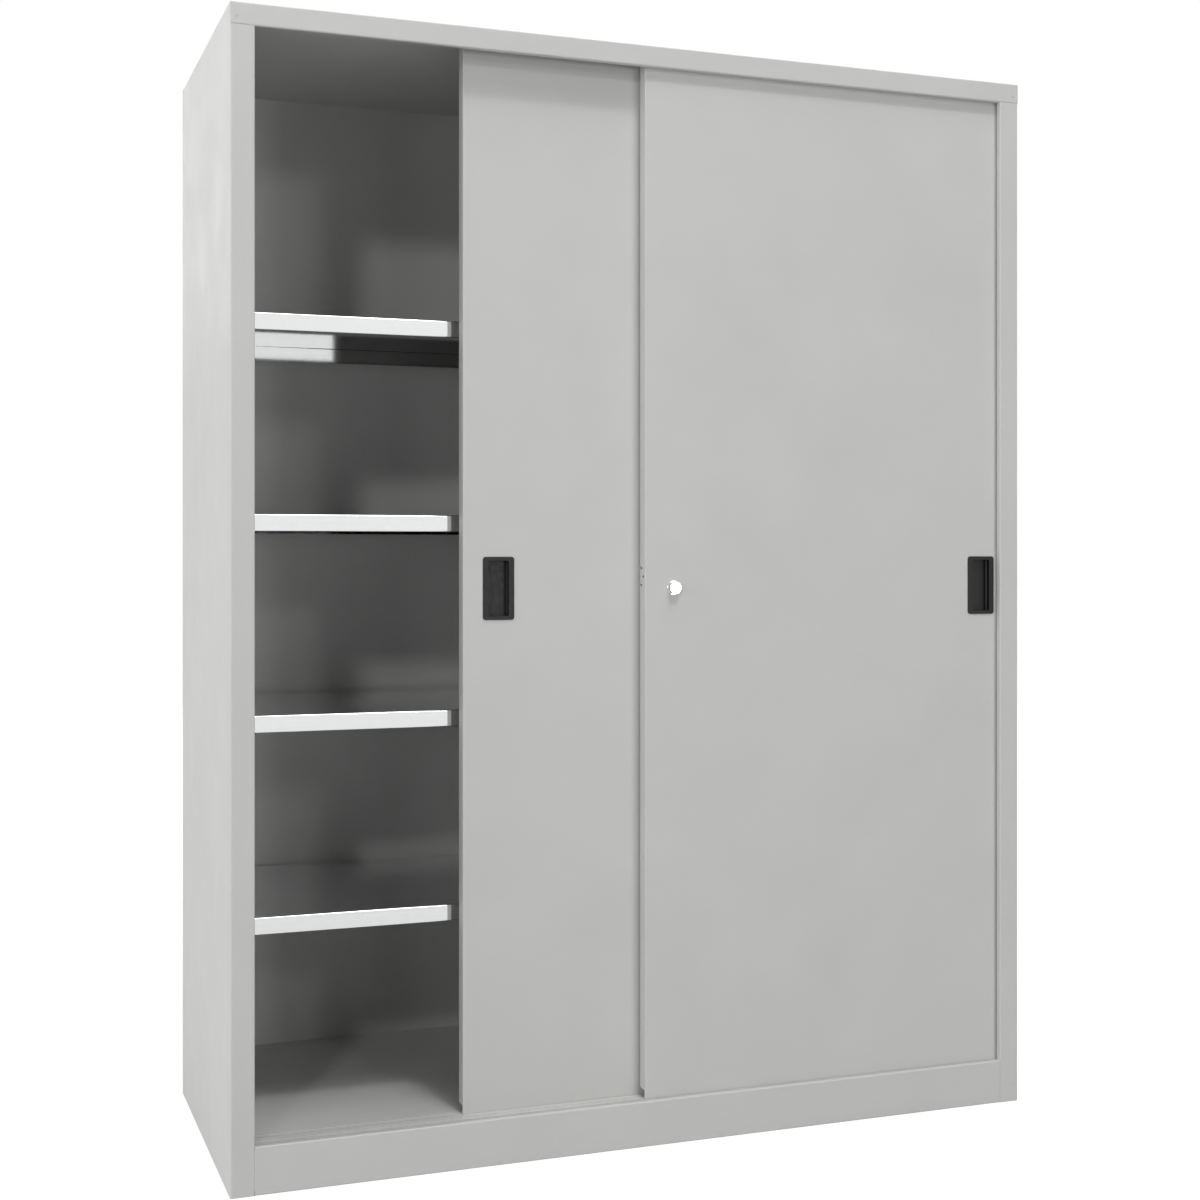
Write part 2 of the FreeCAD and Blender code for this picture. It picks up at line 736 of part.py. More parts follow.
def build_door(door):
    """Door pan: skin, side flanges and returns, head flange, and a skirt below the flanges."""
    body = new_body(f"door_{door}")
    folded(body, "XY_Plane",
           [("door_return", "door_thickness"), ("0", "door_thickness"), ("0", "0"),
            (DOOR_WIDTH, "0"), (DOOR_WIDTH, "door_thickness"),
            (f"{DOOR_WIDTH} - door_return", "door_thickness")],
           "door_gauge", "door_fold", "0", DOOR_HEIGHT)
    cut_outline(body, "YZ_Plane",
                rectangle("skirt_lap", "0", "door_thickness", "skirt_height"), "0", DOOR_WIDTH)
    inner_right = f"{DOOR_WIDTH} - door_gauge"
    pad_outline(body, "XY_Plane",
                rectangle("door_gauge", "door_gauge", inner_right, "door_thickness"),
                f"{DOOR_HEIGHT} - door_gauge", "door_gauge")
    pad_outline(body, "XY_Plane",
                rectangle("door_return", "door_thickness - door_gauge",
                          f"{DOOR_WIDTH} - door_return", "door_thickness"),
                f"{DOOR_HEIGHT} - door_return", "door_return")
    feet = [(across, DOOR_MIDDLE, "guide_foot_radius + running_clearance")
            for across in ("guide_inset", f"{DOOR_WIDTH} - guide_inset")]
    cut_holes(body, "XY_Plane", feet, f"{DOOR_HEIGHT} - door_gauge", "door_gauge")
    left = handle_left(door)
    low = f"handle_middle - {DOOR_BASE} - handle_height / 2"
    cut_outline(body, "XZ_Plane",
                rectangle(f"{left} + bezel_lap", f"{low} + bezel_lap",
                          f"{left} + handle_width - bezel_lap",
                          f"{low} + handle_height - bezel_lap"), "0", "door_gauge")
    if door == "front":
        cut_holes(body, "XZ_Plane",
                  [("lock_inset", f"lock_middle - {DOOR_BASE}",
                    "housing_radius + running_clearance")], "0", "door_gauge")
    holes = [(depth, f"{height} - {DOOR_BASE}", "rivet_radius + running_clearance")
             for depth, height in rivet_spots()]
    flange = "0" if DOORS[door][3] == "left" else f"{DOOR_WIDTH} - door_gauge"
    cut_holes(body, "YZ_Plane", holes, flange, "door_gauge")
    keep(place(body, *door_place(door, "0", "0", "0")))


def build_door_rib(door):
    """Hat section welded upright to the inside of the skin."""
    body = new_body(f"door_{door}_rib")
    middle = f"{DOOR_WIDTH} / 2"
    skin = "door_gauge + gauge"
    crown = "door_gauge + rib_depth"
    left, right = f"{middle} - rib_width / 2", f"{middle} + rib_width / 2"
    folded(body, "XY_Plane",
           [(f"{right} + rib_flange", skin), (right, skin), (right, crown), (left, crown),
            (left, skin), (f"{left} - rib_flange", skin)],
           "gauge", "fold", "rib_end_gap", f"{DOOR_HEIGHT} - 2 * rib_end_gap")
    keep(place(body, *door_place(door, "0", "0", "0")))


def build_handle(door):
    """Moulded recessed handle: bezel, tub through the skin, and an undercut for the fingers."""
    body = new_body(f"handle_{door}")
    pad_outline(body, "XZ_Plane", rectangle("0", "0", "handle_width", "handle_height"),
                "0", "bezel")
    corners = [(across, up) for across in ("0", "handle_width") for up in ("0", "handle_height")]
    round_edges(body, "XZ_Plane", corners, "handle_corner")
    ease_rim(body, 1, "0", "bezel_edge")
    inset = "(bezel_lap + handle_clearance)"
    pad_outline(body, "XZ_Plane",
                rectangle(inset, inset, f"handle_width - {inset}", f"handle_height - {inset}"),
                "bezel", "recess_depth + recess_wall - bezel")
    right = "handle_width - recess_side_rim"
    high = "handle_height - recess_end_rim"
    cut_outline(body, "XZ_Plane",
                rectangle("recess_side_rim", "recess_end_rim", right, high),
                "0", "recess_depth")
    corners = [(across, up) for across in ("recess_side_rim", right)
               for up in ("recess_end_rim", high)]
    round_edges(body, "XZ_Plane", corners, "recess_corner")
    cut_outline(body, "XZ_Plane",
                rectangle(right, "recess_end_rim + recess_corner", f"{right} + undercut",
                          f"{high} - recess_corner"),
                "undercut_start", "undercut_height")
    up = f"handle_middle - {DOOR_BASE} - handle_height / 2"
    keep(place(body, *door_place(door, handle_left(door), "(0 - bezel)", up)))


def roller_centre(side):
    return "roller_inset" if side == "left" else f"({DOOR_WIDTH} - roller_inset)"


def build_roller_set(door, side):
    """Bracket, axle and grooved roller at one foot of a door."""
    bracket = new_body(f"roller_bracket_{door}_{side}")
    skin = "door_gauge"
    back = "(door_gauge + bracket_depth)"
    folded(bracket, "YZ_Plane",
           [(back, "bracket_foot"), (back, "bracket_top"), (skin, "bracket_top"),
            (skin, "bracket_foot")],
           "bracket_gauge", "bracket_fold",
           f"{roller_centre(side)} - bracket_length / 2", "bracket_length")
    cut_holes(bracket, "XZ_Plane",
              [(roller_centre(side), AXLE_HEIGHT, "axle_radius + running_clearance")],
              skin, "bracket_depth")
    keep(place(bracket, *door_place(door, "0", "0", "0")))

    axle = new_body(f"axle_{door}_{side}")
    start = "door_gauge + side_clearance"
    turned(axle, [("0", start), ("axle_radius", start), ("axle_radius", back),
                  ("axle_head_radius", back), ("axle_head_radius", f"{back} + axle_head"),
                  ("0", f"{back} + axle_head")])
    spot = door_place(door, roller_centre(side), "0", AXLE_HEIGHT)
    keep(place(axle, *spot, ALONG_DEPTH))

    roller = new_body(f"roller_{door}_{side}")
    bore = "axle_radius + running_clearance"
    hub_front = "door_gauge + bracket_gauge + side_clearance"
    hub_back = f"{back} - bracket_gauge - side_clearance"
    rim = "roller_radius + roller_flange"
    floor_half = "(ridge_width / 2 + groove_clearance)"
    faces = (f"{DOOR_MIDDLE} - roller_width / 2", f"{DOOR_MIDDLE} + roller_width / 2")
    floors = (f"{DOOR_MIDDLE} - {floor_half}", f"{DOOR_MIDDLE} + {floor_half}")
    tops = (f"{DOOR_MIDDLE} - {floor_half} - groove_slope",
            f"{DOOR_MIDDLE} + {floor_half} + groove_slope")
    turned(roller, [(bore, hub_front), ("hub_radius", hub_front), ("hub_radius", faces[0]),
                    (rim, faces[0]), (rim, tops[0]), ("roller_radius", floors[0]),
                    ("roller_radius", floors[1]), (rim, tops[1]), (rim, faces[1]),
                    ("hub_radius", faces[1]), ("hub_radius", hub_back), (bore, hub_back)])
    keep(place(roller, *spot, ALONG_DEPTH))


def build_top_guide(door, side):
    """Moulded guide block that snaps into the head flange and slides in the top channel."""
    body = new_body(f"top_guide_{door}_{side}")
    foot_depth = "(door_gauge + guide_barb)"
    top = f"{foot_depth} + guide_height"
    pad_outline(body, "XY_Plane", rectangle("0", "0", "guide_length", "guide_width"),
                foot_depth, "guide_height")
    corners = [(across, back) for across in ("0", "guide_length")
               for back in ("0", "guide_width")]
    round_edges(body, "XY_Plane", corners, "guide_corner")
    ease_rim(body, 2, top, "guide_chamfer", "Chamfer")
    for radius, level, length in (("guide_foot_radius", "0", foot_depth),
                                  ("guide_barb_radius", "0", "guide_barb")):
        sketch = new_sketch(body, "XY_Plane", level)
        draw_circle(sketch, "guide_length / 2", "guide_width / 2", radius)
        pad(body, "XY_Plane", sketch, length)
    centre = "guide_inset" if side == "left" else f"{DOOR_WIDTH} - guide_inset"
    spot = door_place(door, f"{centre} - guide_length / 2", f"{DOOR_MIDDLE} - guide_width / 2",
                      f"{DOOR_HEIGHT} - {foot_depth}")
    keep(place(body, *spot))


# ---------------------------------------------------------------- lock and strike

def lock_place():
    return door_place("front", "lock_inset", "0", f"lock_middle - {DOOR_BASE}")


def build_lock():
    """Push lock: housing and nut in the door, a sprung barrel with its bolt, and the key plug."""
    across, back, up = lock_place()
    face = f"{back} - barrel_reach"
    collar = f"{back} - collar_thickness"

    housing = new_body("lock_housing")
    bore = "barrel_radius + running_clearance"
    wide_bore = "barrel_radius + barrel_flange + running_clearance"
    shoulder = "collar_thickness + housing_step"
    end = f"collar_thickness + {HOUSING_REAR}"
    turned(housing, [(bore, "0"), ("collar_radius", "0"), ("collar_radius", "collar_thickness"),
                     ("housing_radius", "collar_thickness"), ("housing_radius", end),
                     ("bolt_radius + running_clearance", end),
                     ("bolt_radius + running_clearance", f"{end} - housing_end"),
                     (wide_bore, f"{end} - housing_end"), (wide_bore, shoulder),
                     (bore, shoulder)])
    keep(place(housing, across, collar, up, ALONG_DEPTH))

    nut = new_body("lock_nut")
    sketch = new_sketch(nut, "XY_Plane")
    draw_circle(sketch, "nut_radius", "nut_radius", "nut_radius")
    pad(nut, "XY_Plane", sketch, "nut_thickness")
    cut_holes(nut, "XY_Plane",
              [("nut_radius", "nut_radius", "housing_radius + running_clearance")],
              "0", "nut_thickness")
    for left, right in (("0", "nut_flat"), ("2 * nut_radius - nut_flat", "2 * nut_radius")):
        cut_outline(nut, "XY_Plane", rectangle(left, "0", right, "2 * nut_radius"),
                    "0", "nut_thickness")
    keep(place(nut, f"{across} - nut_radius", f"{back} + door_gauge", f"{up} + nut_radius",
               ALONG_DEPTH))

    barrel = new_body("lock_barrel")
    plug_bore = "plug_radius + running_clearance"
    plug_end = "plug_length + side_clearance"
    flange_front = "barrel_length - barrel_flange_length"
    tip = f"barrel_length + {BOLT_LENGTH}"
    turned(barrel, [(plug_bore, "0"), ("barrel_radius - barrel_edge", "0"),
                    ("barrel_radius", "barrel_edge"), ("barrel_radius", flange_front),
                    ("barrel_radius + barrel_flange", flange_front),
                    ("barrel_radius + barrel_flange", "barrel_length"),
                    ("bolt_radius", "barrel_length"), ("bolt_radius", tip), ("0", tip),
                    ("0", plug_end), (plug_bore, plug_end)])
    keep(place(barrel, across, face, up, ALONG_DEPTH))

    plug = new_body("lock_plug")
    turned(plug, [("0", "0"), ("plug_radius", "0"), ("plug_radius", "plug_length"),
                  ("0", "plug_length")])
    sketch = new_sketch(plug, "XY_Plane")
    half_width, half_height = "keyway_width / 2", "keyway_height / 2"
    corners = [Vector(value(half_width) * x, value(half_height) * y, 0)
               for x, y in ((-1, -1), (1, -1), (1, 1), (-1, 1))]
    for here in range(4):
        sketch.addGeometry(Part.LineSegment(corners[here], corners[(here + 1) % 4]), False)
    for here in range(4):
        sketch.addConstraint(Sketcher.Constraint("Coincident", here, 2, (here + 1) % 4, 1))
        kind = "Vertical" if here % 2 else "Horizontal"
        sketch.addConstraint(Sketcher.Constraint(kind, here))
    sketch.addConstraint(Sketcher.Constraint("Symmetric", 0, 1, 1, 2, -1, 1))
    for side, kind, size in ((0, "DistanceX", "keyway_width"), (1, "DistanceY", "keyway_height")):
        index = sketch.addConstraint(Sketcher.Constraint(kind, side, 1, side, 2, value(size)))
        sketch.setExpression(f"Constraints[{index}]", bound(size))
    cut(plug, "XY_Plane", sketch, "keyway_depth")
    keep(place(plug, across, face, up, ALONG_DEPTH))

    spring = new_body("lock_spring")
    sketch = new_sketch(spring, "XZ_Plane")
    draw_outline(sketch, rectangle("spring_radius", "0", "spring_radius + spring_wire",
                                   "spring_wire"))
    coil = spring.newObject("PartDesign::AdditiveHelix", "lock_spring_coil")
    coil.Profile = sketch
    coil.ReferenceAxis = (sketch, ["V_Axis"])
    coil.Mode = "pitch-height-angle"
    coil.setExpression("Pitch", bound("spring_pitch"))
    coil.setExpression("Height", bound("lock_travel + spring_room - spring_wire - side_clearance"))
    sketch.Visibility = False
    doc.recompute()
    keep(place(spring, across, f"{face} + barrel_length", up, ALONG_DEPTH))


def build_strike():
    """Angle riveted to the rear door: its free leg lies in the gap, where the bolt blocks it."""
    body = new_body("strike_plate")
    folded(body, "XY_Plane",
           [("0", f"{STRIKE_FORWARD} + strike_lap"), ("0", "0"), (STRIKE_REACH, "0")],
           "strike_gauge", "strike_fold", "0", "strike_height")
    foot = "(rivet_middle - strike_height / 2)"
    holes = [(f"{depth} + {STRIKE_FORWARD}", f"{height} - {foot}",
              "rivet_radius + running_clearance") for depth, height in rivet_spots()]
    cut_holes(body, "YZ_Plane", holes, "0", "strike_gauge")
    spot = door_place("rear", DOOR_WIDTH, f"(0 - {STRIKE_FORWARD})", f"{foot} - {DOOR_BASE}")
    keep(place(body, *spot))

    pieces = []
    grip = "rivet_head + door_gauge + strike_gauge"
    for name, (depth, height) in zip(("upper", "middle", "lower"), rivet_spots()):
        rivet = new_body(f"strike_rivet_{name}")
        turned(rivet, [("0", "0"), ("rivet_tail_radius", "0"), ("rivet_tail_radius", "rivet_head"),
                       ("rivet_radius", "rivet_head"), ("rivet_radius", grip),
                       ("rivet_head_radius", grip), ("rivet_head_radius", f"{grip} + rivet_head"),
                       ("0", f"{grip} + rivet_head")])
        spot = door_place("rear", f"{DOOR_WIDTH} - door_gauge - rivet_head", depth,
                          f"{height} - {DOOR_BASE}")
        pieces.append(place(rivet, *spot, ALONG_WIDTH))
    keep(grouped("strike_rivets", pieces))


# ---------------------------------------------------------------- end buffers

def build_buffers():
    """Rubber buffers on the side sheets that stop each door at both ends of its travel."""
    short = "door_end_gap - buffer_gap"
    long = f"{STRIKE_REACH} + 2 * buffer_gap"
    buffers = (("front", "left", short), ("front", "right", short),
               ("rear", "left", short), ("rear", "right", long))
    for door, side, length in buffers:
        body = new_body(f"buffer_{door}_{side}")
        sketch = new_sketch(body, "YZ_Plane")
        draw_circle(sketch, "buffer_radius", "buffer_radius", "buffer_radius")
        pad(body, "YZ_Plane", sketch, length)
        free_end = "0" if side == "right" else length
        ease_rim(body, 0, free_end, "buffer_edge", "Chamfer")
        across = "gauge" if side == "left" else f"width - gauge - ({length})"
        back = f"{DOORS[door][1]} + {DOOR_MIDDLE} - buffer_radius"
        keep(place(body, across, back, "buffer_middle - buffer_radius"))


# ---------------------------------------------------------------- build, check and write

build_side()
build_top()
build_corner_rivets()
build_back()
build_bottom()
build_plinths()
build_bottom_track()
build_top_track()
build_uprights()
build_shelves()
build_clips()
for door_name in DOORS:
    build_door(door_name)
    build_door_rib(door_name)
    build_handle(door_name)
    for side_name in ("left", "right"):
        build_roller_set(door_name, side_name)
        build_top_guide(door_name, side_name)
build_lock()
build_strike()
build_buffers()
doc.recompute()

for item in doc.Objects:
    if "Invalid" in item.State or "Error" in item.State:
        raise RuntimeError(f"{item.Label} failed: {item.State}")
for node in nodes:
    if node.Shape.isNull() or not node.Shape.isValid():
        raise RuntimeError(f"{node.Label} has no valid shape")

os.makedirs("parts", exist_ok=True)
for node in nodes:
    node.Shape.exportStep(f"parts/{node.Label}.step")
print(f"{len(nodes)} nodes written")
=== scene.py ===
import json
import math

import bmesh
import bpy
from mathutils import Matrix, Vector


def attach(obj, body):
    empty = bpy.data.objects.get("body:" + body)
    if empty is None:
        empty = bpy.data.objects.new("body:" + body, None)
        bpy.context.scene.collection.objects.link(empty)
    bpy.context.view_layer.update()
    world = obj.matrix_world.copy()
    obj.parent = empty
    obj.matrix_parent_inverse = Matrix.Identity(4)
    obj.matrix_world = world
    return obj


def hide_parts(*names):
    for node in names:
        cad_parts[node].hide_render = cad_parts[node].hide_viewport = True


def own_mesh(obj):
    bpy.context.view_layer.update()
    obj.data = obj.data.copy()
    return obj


with open("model.json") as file:
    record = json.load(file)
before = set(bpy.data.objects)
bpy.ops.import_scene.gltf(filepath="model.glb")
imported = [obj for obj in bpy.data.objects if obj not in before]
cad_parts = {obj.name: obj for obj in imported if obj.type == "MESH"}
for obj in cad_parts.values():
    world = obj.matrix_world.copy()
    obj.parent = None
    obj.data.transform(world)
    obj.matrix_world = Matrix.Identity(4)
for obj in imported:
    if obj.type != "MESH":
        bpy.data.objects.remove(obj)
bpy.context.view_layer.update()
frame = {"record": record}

# Sliding door cabinet of folded, powder coated sheet steel with galvanised shelves.
# Lengths are in millimetres from the cabinet's front left foot: x to the right, y to the back
# and z up. to_row() turns them into the frame's metres.

MM = 0.001
BEND_STEPS = 8
WIDTH, DEPTH, HEIGHT = 1500, 600, 1950
# sheet: its gauge, and the radius within and without of the carcass's folds
GAUGE, FOLD = 1, 1.5
OUTER = GAUGE + FOLD
# how far a cutter reaches past the sheet that it cuts
PAST = 2
# front stiles and their returns, the sides' back flanges, and the seam of stile and rail
STILE, RETURN, BACK_FLANGE, SEAM = 40, 12, 20, 1913.5
# top of the plinth, level with the deck and the track
PLINTH = 80
DOOR_WIDTH, DOOR_THICK, DOOR_BASE, DOOR_TOP = 757, 25, 79.5, 1930
SHELF_LOW, SHELF_PITCH = 434.6, 341.3
SHELF_TOPS = [SHELF_LOW + SHELF_PITCH * step for step in range(4)]
# back of each upright, whose slots are 12.5 mm in front of it
UPRIGHT_BACKS = {"front": 143, "rear": 555}
# edges that turn by more than this are bevelled and shaded sharp
CREASE = math.radians(40)


def to_row(spot):
    return Vector((spot[0] - WIDTH / 2, spot[1] - DEPTH / 2, spot[2])) * MM


# ---------------------------------------------------------------- shapes

def rounded(points, radii, steps=BEND_STEPS):
    """An outline with its corners rounded, one radius for each corner."""
    result = []
    for here, (corner, radius) in enumerate(zip(points, radii)):
        if radius <= 0:
            result.append(tuple(corner))
            continue
        corner = Vector(corner)
        before = (Vector(points[here - 1]) - corner).normalized()
        after = (Vector(points[(here + 1) % len(points)]) - corner).normalized()
        half = before.angle(after) / 2
        centre = corner + (before + after).normalized() * radius / math.sin(half)
        start = corner + before * radius / math.tan(half) - centre
        end = corner + after * radius / math.tan(half) - centre
        sweep = start.angle_signed(end)
        for step in range(steps + 1):
            turn = -sweep * step / steps
            cos, sin = math.cos(turn), math.sin(turn)
            result.append((centre.x + start.x * cos - start.y * sin,
                           centre.y + start.x * sin + start.y * cos))
    return result


def rectangle(left, low, right, high, radius=0, steps=BEND_STEPS):
    points = [(left, low), (right, low), (right, high), (left, high)]
    return rounded(points, [radius] * 4, steps)


def strip(path, gauge, inside, steps=BEND_STEPS):
    """Outline of a folded sheet. The path is its right-hand face, as seen going along it.

    The bends' inner radius is one for all, or one for each point of the path.
    """
    insides = inside if isinstance(inside, list) else [inside] * len(path)
    lefts = []
    for (x1, y1), (x2, y2) in zip(path, path[1:]):
        length = math.hypot(x2 - x1, y2 - y1)
        lefts.append(((y1 - y2) / length, (x2 - x1) / length))
    far, near_radii, far_radii = [], [], []
    for here, (x, y) in enumerate(path):
        first, second = lefts[max(here - 1, 0)], lefts[min(here, len(lefts) - 1)]
        turn = first[0] * second[1] - first[1] * second[0]
        shift = first if abs(turn) < 0.5 else (first[0] + second[0], first[1] + second[1])
        far.append((x + shift[0] * gauge, y + shift[1] * gauge))
        if abs(turn) < 0.5:
            near_radii.append(0)
            far_radii.append(0)
        else:
            near_radii.append(insides[here] + (gauge if turn > 0 else 0))
            far_radii.append(insides[here] + (0 if turn > 0 else gauge))
    return rounded(path + far[::-1], near_radii + far_radii[::-1], steps)


class Shape:
    """Solids gathered in one mesh."""

    def __init__(self):
        self.mesh = bmesh.new()

    def prism(self, outline, axis, low, high):
        """An outline drawn across an axis, run from low to high along it."""
        place = "xyz".index(axis)
        rings = []
        for level in (low, high):
            ring = []
            for point in outline:
                spot = list(point)
                spot.insert(place, level)
                ring.append(self.mesh.verts.new(to_row(spot)))
            rings.append(ring)
        faces = [self.mesh.faces.new(rings[0]), self.mesh.faces.new(rings[1])]
        for here in range(len(outline)):
            there = (here + 1) % len(outline)
            faces.append(self.mesh.faces.new((rings[0][here], rings[0][there],
                                              rings[1][there], rings[1][here])))
        bmesh.ops.recalc_face_normals(self.mesh, faces=faces)
        return self

    def box(self, low, high):
        return self.prism(rectangle(low[0], low[1], high[0], high[1]), "z", low[2], high[2])

    def lathe(self, profile, centre, axis, steps=64):
        """A closed profile of (radius, along) turned about an axis through a centre."""
        place = "xyz".index(axis)
        loops = []
        for radius, along in profile:
            loop = []
            for step in range(1 if radius == 0 else steps):
                turn = math.tau * step / steps
                spot = [radius * math.cos(turn), radius * math.sin(turn)]
                spot.insert(place, along)
                spot = [a + b for a, b in zip(spot, centre)]
                loop.append(self.mesh.verts.new(to_row(spot)))
            loops.append(loop)
        faces = []
        for here, loop in enumerate(loops):
            following = loops[(here + 1) % len(loops)]
            if len(loop) == len(following) == 1:
                continue
            for step in range(steps):
                ahead = (step + 1) % steps
                corners = [loop[step % len(loop)], loop[ahead % len(loop)],
                           following[ahead % len(following)], following[step % len(following)]]
                faces.append(self.mesh.faces.new(dict.fromkeys(corners)))
        bmesh.ops.recalc_face_normals(self.mesh, faces=faces)
        return self

    def coil(self, radius, wire, low, high, turns, centre, steps=24, around=8):
        """A round wire wound about the Y axis through a centre."""
        count = int(turns * steps)
        rings = []
        for step in range(count + 1):
            turn = math.tau * step / steps
            along = low + (high - low) * step / count
            ring = []
            for side in range(around):
                lean = math.tau * side / around
                reach = radius + wire * math.cos(lean)
                spot = (centre[0] + reach * math.cos(turn),
                        centre[1] + along + wire * math.sin(lean),
                        centre[2] + reach * math.sin(turn))
                ring.append(self.mesh.verts.new(to_row(spot)))
            rings.append(ring)
        faces = [self.mesh.faces.new(rings[0]), self.mesh.faces.new(rings[-1])]
        for first, second in zip(rings, rings[1:]):
            for side in range(around):
                ahead = (side + 1) % around
                faces.append(self.mesh.faces.new((first[side], first[ahead],
                                                  second[ahead], second[side])))
        bmesh.ops.recalc_face_normals(self.mesh, faces=faces)
        return self

    def mirrored(self):
        """Turned into its mirror image about the middle plane of the cabinet."""
        for vertex in self.mesh.verts:
            vertex.co.x = -vertex.co.x
        bmesh.ops.reverse_faces(self.mesh, faces=self.mesh.faces)
        return self

    def with_shape(self, other):
        """Takes in another shape's solids as they are."""
        data = bpy.data.meshes.new("part")
        other.mesh.to_mesh(data)
        self.mesh.from_mesh(data)
        bpy.data.meshes.remove(data)
        return self

    def to_object(self, name):
        """An object of the scene with this mesh, which is used up."""
        data = bpy.data.meshes.new(name)
        self.mesh.to_mesh(data)
        self.mesh.free()
        obj = bpy.data.objects.new(name, data)
        bpy.context.scene.collection.objects.link(obj)
        return obj

    def combined(self, other, operation):
        """The exact boolean of this shape and another, which is used up."""
        piece, cutter = self.to_object("piece"), other.to_object("cutter")
        modifier = piece.modifiers.new("combine", "BOOLEAN")
        modifier.operation, modifier.solver, modifier.object = operation, "EXACT", cutter
        shown = piece.evaluated_get(bpy.context.evaluated_depsgraph_get())
        data = bpy.data.meshes.new_from_object(shown)
        self.mesh = bmesh.new()
        self.mesh.from_mesh(data)
        for obj in (piece, cutter):
            bpy.data.objects.remove(obj)
        bpy.data.meshes.remove(data)
        return self

    def minus(self, other):
        return self.combined(other, "DIFFERENCE")

    def joined(self, other):
        return self.combined(other, "UNION")


# ---------------------------------------------------------------- materials

def colour(code):
    """Linear colour of an sRGB hex code."""
    levels = [int(code[at:at + 2], 16) / 255 for at in (1, 3, 5)]
    return tuple(c / 12.92 if c <= 0.04045 else ((c + 0.055) / 1.055) ** 2.4
                 for c in levels) + (1.0,)


class Finish:
    """A node material. add() makes one node, with its inputs linked or set."""

    def __init__(self, name):
        self.material = bpy.data.materials.new(name)
        self.material.use_nodes = True
        self.tree = self.material.node_tree
        self.tree.nodes.clear()
        self.spot = self.add("ShaderNodeTexCoord").outputs["Object"]

    def add(self, kind, inputs=None, **settings):
        node = self.tree.nodes.new(kind)
        for name, setting in settings.items():
            setattr(node, name, setting)
        for name, given in (inputs or {}).items():
            if isinstance(given, bpy.types.NodeSocket):
                self.tree.links.new(given, node.inputs[name])
            else:
                node.inputs[name].default_value = given
        return node

    def noise(self, scale, detail=2.0, stretch=None, rough=0.5):
        """Noise with so many cells to a metre."""
        spot = self.spot
        if stretch:
            spot = self.add("ShaderNodeVectorMath", {0: spot, 1: stretch},
                            operation="MULTIPLY").outputs[0]
        return self.add("ShaderNodeTexNoise", {"Vector": spot, "Scale": scale, "Detail": detail,
                                               "Roughness": rough}).outputs["Fac"]

    def spread(self, fac, low, high, start=0.3, end=0.7):
        """Maps a pattern's start to end onto low to high."""
        return self.add("ShaderNodeMapRange", {"Value": fac, "From Min": start, "From Max": end,
                                               "To Min": low, "To Max": high}).outputs["Result"]

    def mix(self, fac, first, second):
        node = self.add("ShaderNodeMix", data_type="RGBA")
        for place, given in ((0, fac), (6, first), (7, second)):
            if isinstance(given, bpy.types.NodeSocket):
                self.tree.links.new(given, node.inputs[place])
            else:
                node.inputs[place].default_value = given
        return node.outputs[2]

    def bump(self, height, strength, distance, normal=None):
        inputs = {"Height": height, "Strength": strength, "Distance": distance * MM}
        if normal:
            inputs["Normal"] = normal
        return self.add("ShaderNodeBump", inputs).outputs["Normal"]

    def done(self, **inputs):
        named = {name.replace("_", " "): given for name, given in inputs.items()}
        shader = self.add("ShaderNodeBsdfPrincipled", named)
        self.add("ShaderNodeOutputMaterial", {"Surface": shader.outputs[0]})
        return self.material


def powder_coat():
    """Light grey polyester powder coat on steel: faint orange peel, a little handling haze."""
    look = Finish("powder_coated_steel_light_grey")
    peel = look.noise(420, 2.0)
    haze = look.noise(5, 5.0)
    scuff = look.spread(look.noise(26, 6.0, (0.5, 0.5, 2.0), 0.65), 0, 1, 0.62, 0.8)
    height = look.add("ShaderNodeSeparateXYZ", {0: look.spot}).outputs["Z"]
    low_down = look.spread(height, 1, 0, 0.0, 0.16)
    dust = look.add("ShaderNodeMath", {0: scuff, 1: low_down}, operation="MULTIPLY").outputs[0]
    base = look.mix(look.spread(haze, 0, 1), colour("#d0d0ce"), colour("#ccccca"))
    base = look.mix(look.spread(dust, 0, 0.25, 0, 1), base, colour("#a9a59c"))
    gloss = look.spread(look.noise(14, 4.0), 0.40, 0.50)
    return look.done(Base_Color=base, Roughness=gloss, Specular_IOR_Level=0.3,
                     Normal=look.bump(peel, 0.12, 0.05))


def galvanised():
    """Bright galvanised sheet: nearly a mirror, with faint spangles and rolling lines."""
    look = Finish("galvanised_sheet_bright")
    cells = look.add("ShaderNodeTexVoronoi", {"Vector": look.spot, "Scale": 95.0})
    flake = look.add("ShaderNodeSeparateColor", {0: cells.outputs["Color"]}).outputs[0]
    rolled = look.noise(60, 3.0, (0.1, 9.0, 9.0))
    shade = look.add("ShaderNodeMath", {0: look.spread(flake, 0, 0.4, 0, 1),
                                        1: look.spread(rolled, 0, 0.6)},
                     operation="ADD").outputs[0]
    base = look.mix(shade, colour("#e9eaea"), colour("#e5e6e6"))
    gloss = look.spread(shade, 0.04, 0.07, 0, 1)
    normal = look.bump(look.noise(5, 1.0), 0.02, 0.1)
    return look.done(Base_Color=base, Metallic=1.0, Roughness=gloss, Normal=normal)


def zinc_plate():
    """Zinc plated pressings with a faint blue and yellow passivated tint."""
    look = Finish("zinc_plated_steel")
    base = look.mix(look.spread(look.noise(90, 4.0), 0, 1), colour("#c3c8cc"), colour("#cdc8b8"))
    gloss = look.spread(look.noise(300, 3.0), 0.24, 0.38)
    return look.done(Base_Color=base, Metallic=1.0, Roughness=gloss,
                     Normal=look.bump(look.noise(900, 2.0), 0.15, 0.02))


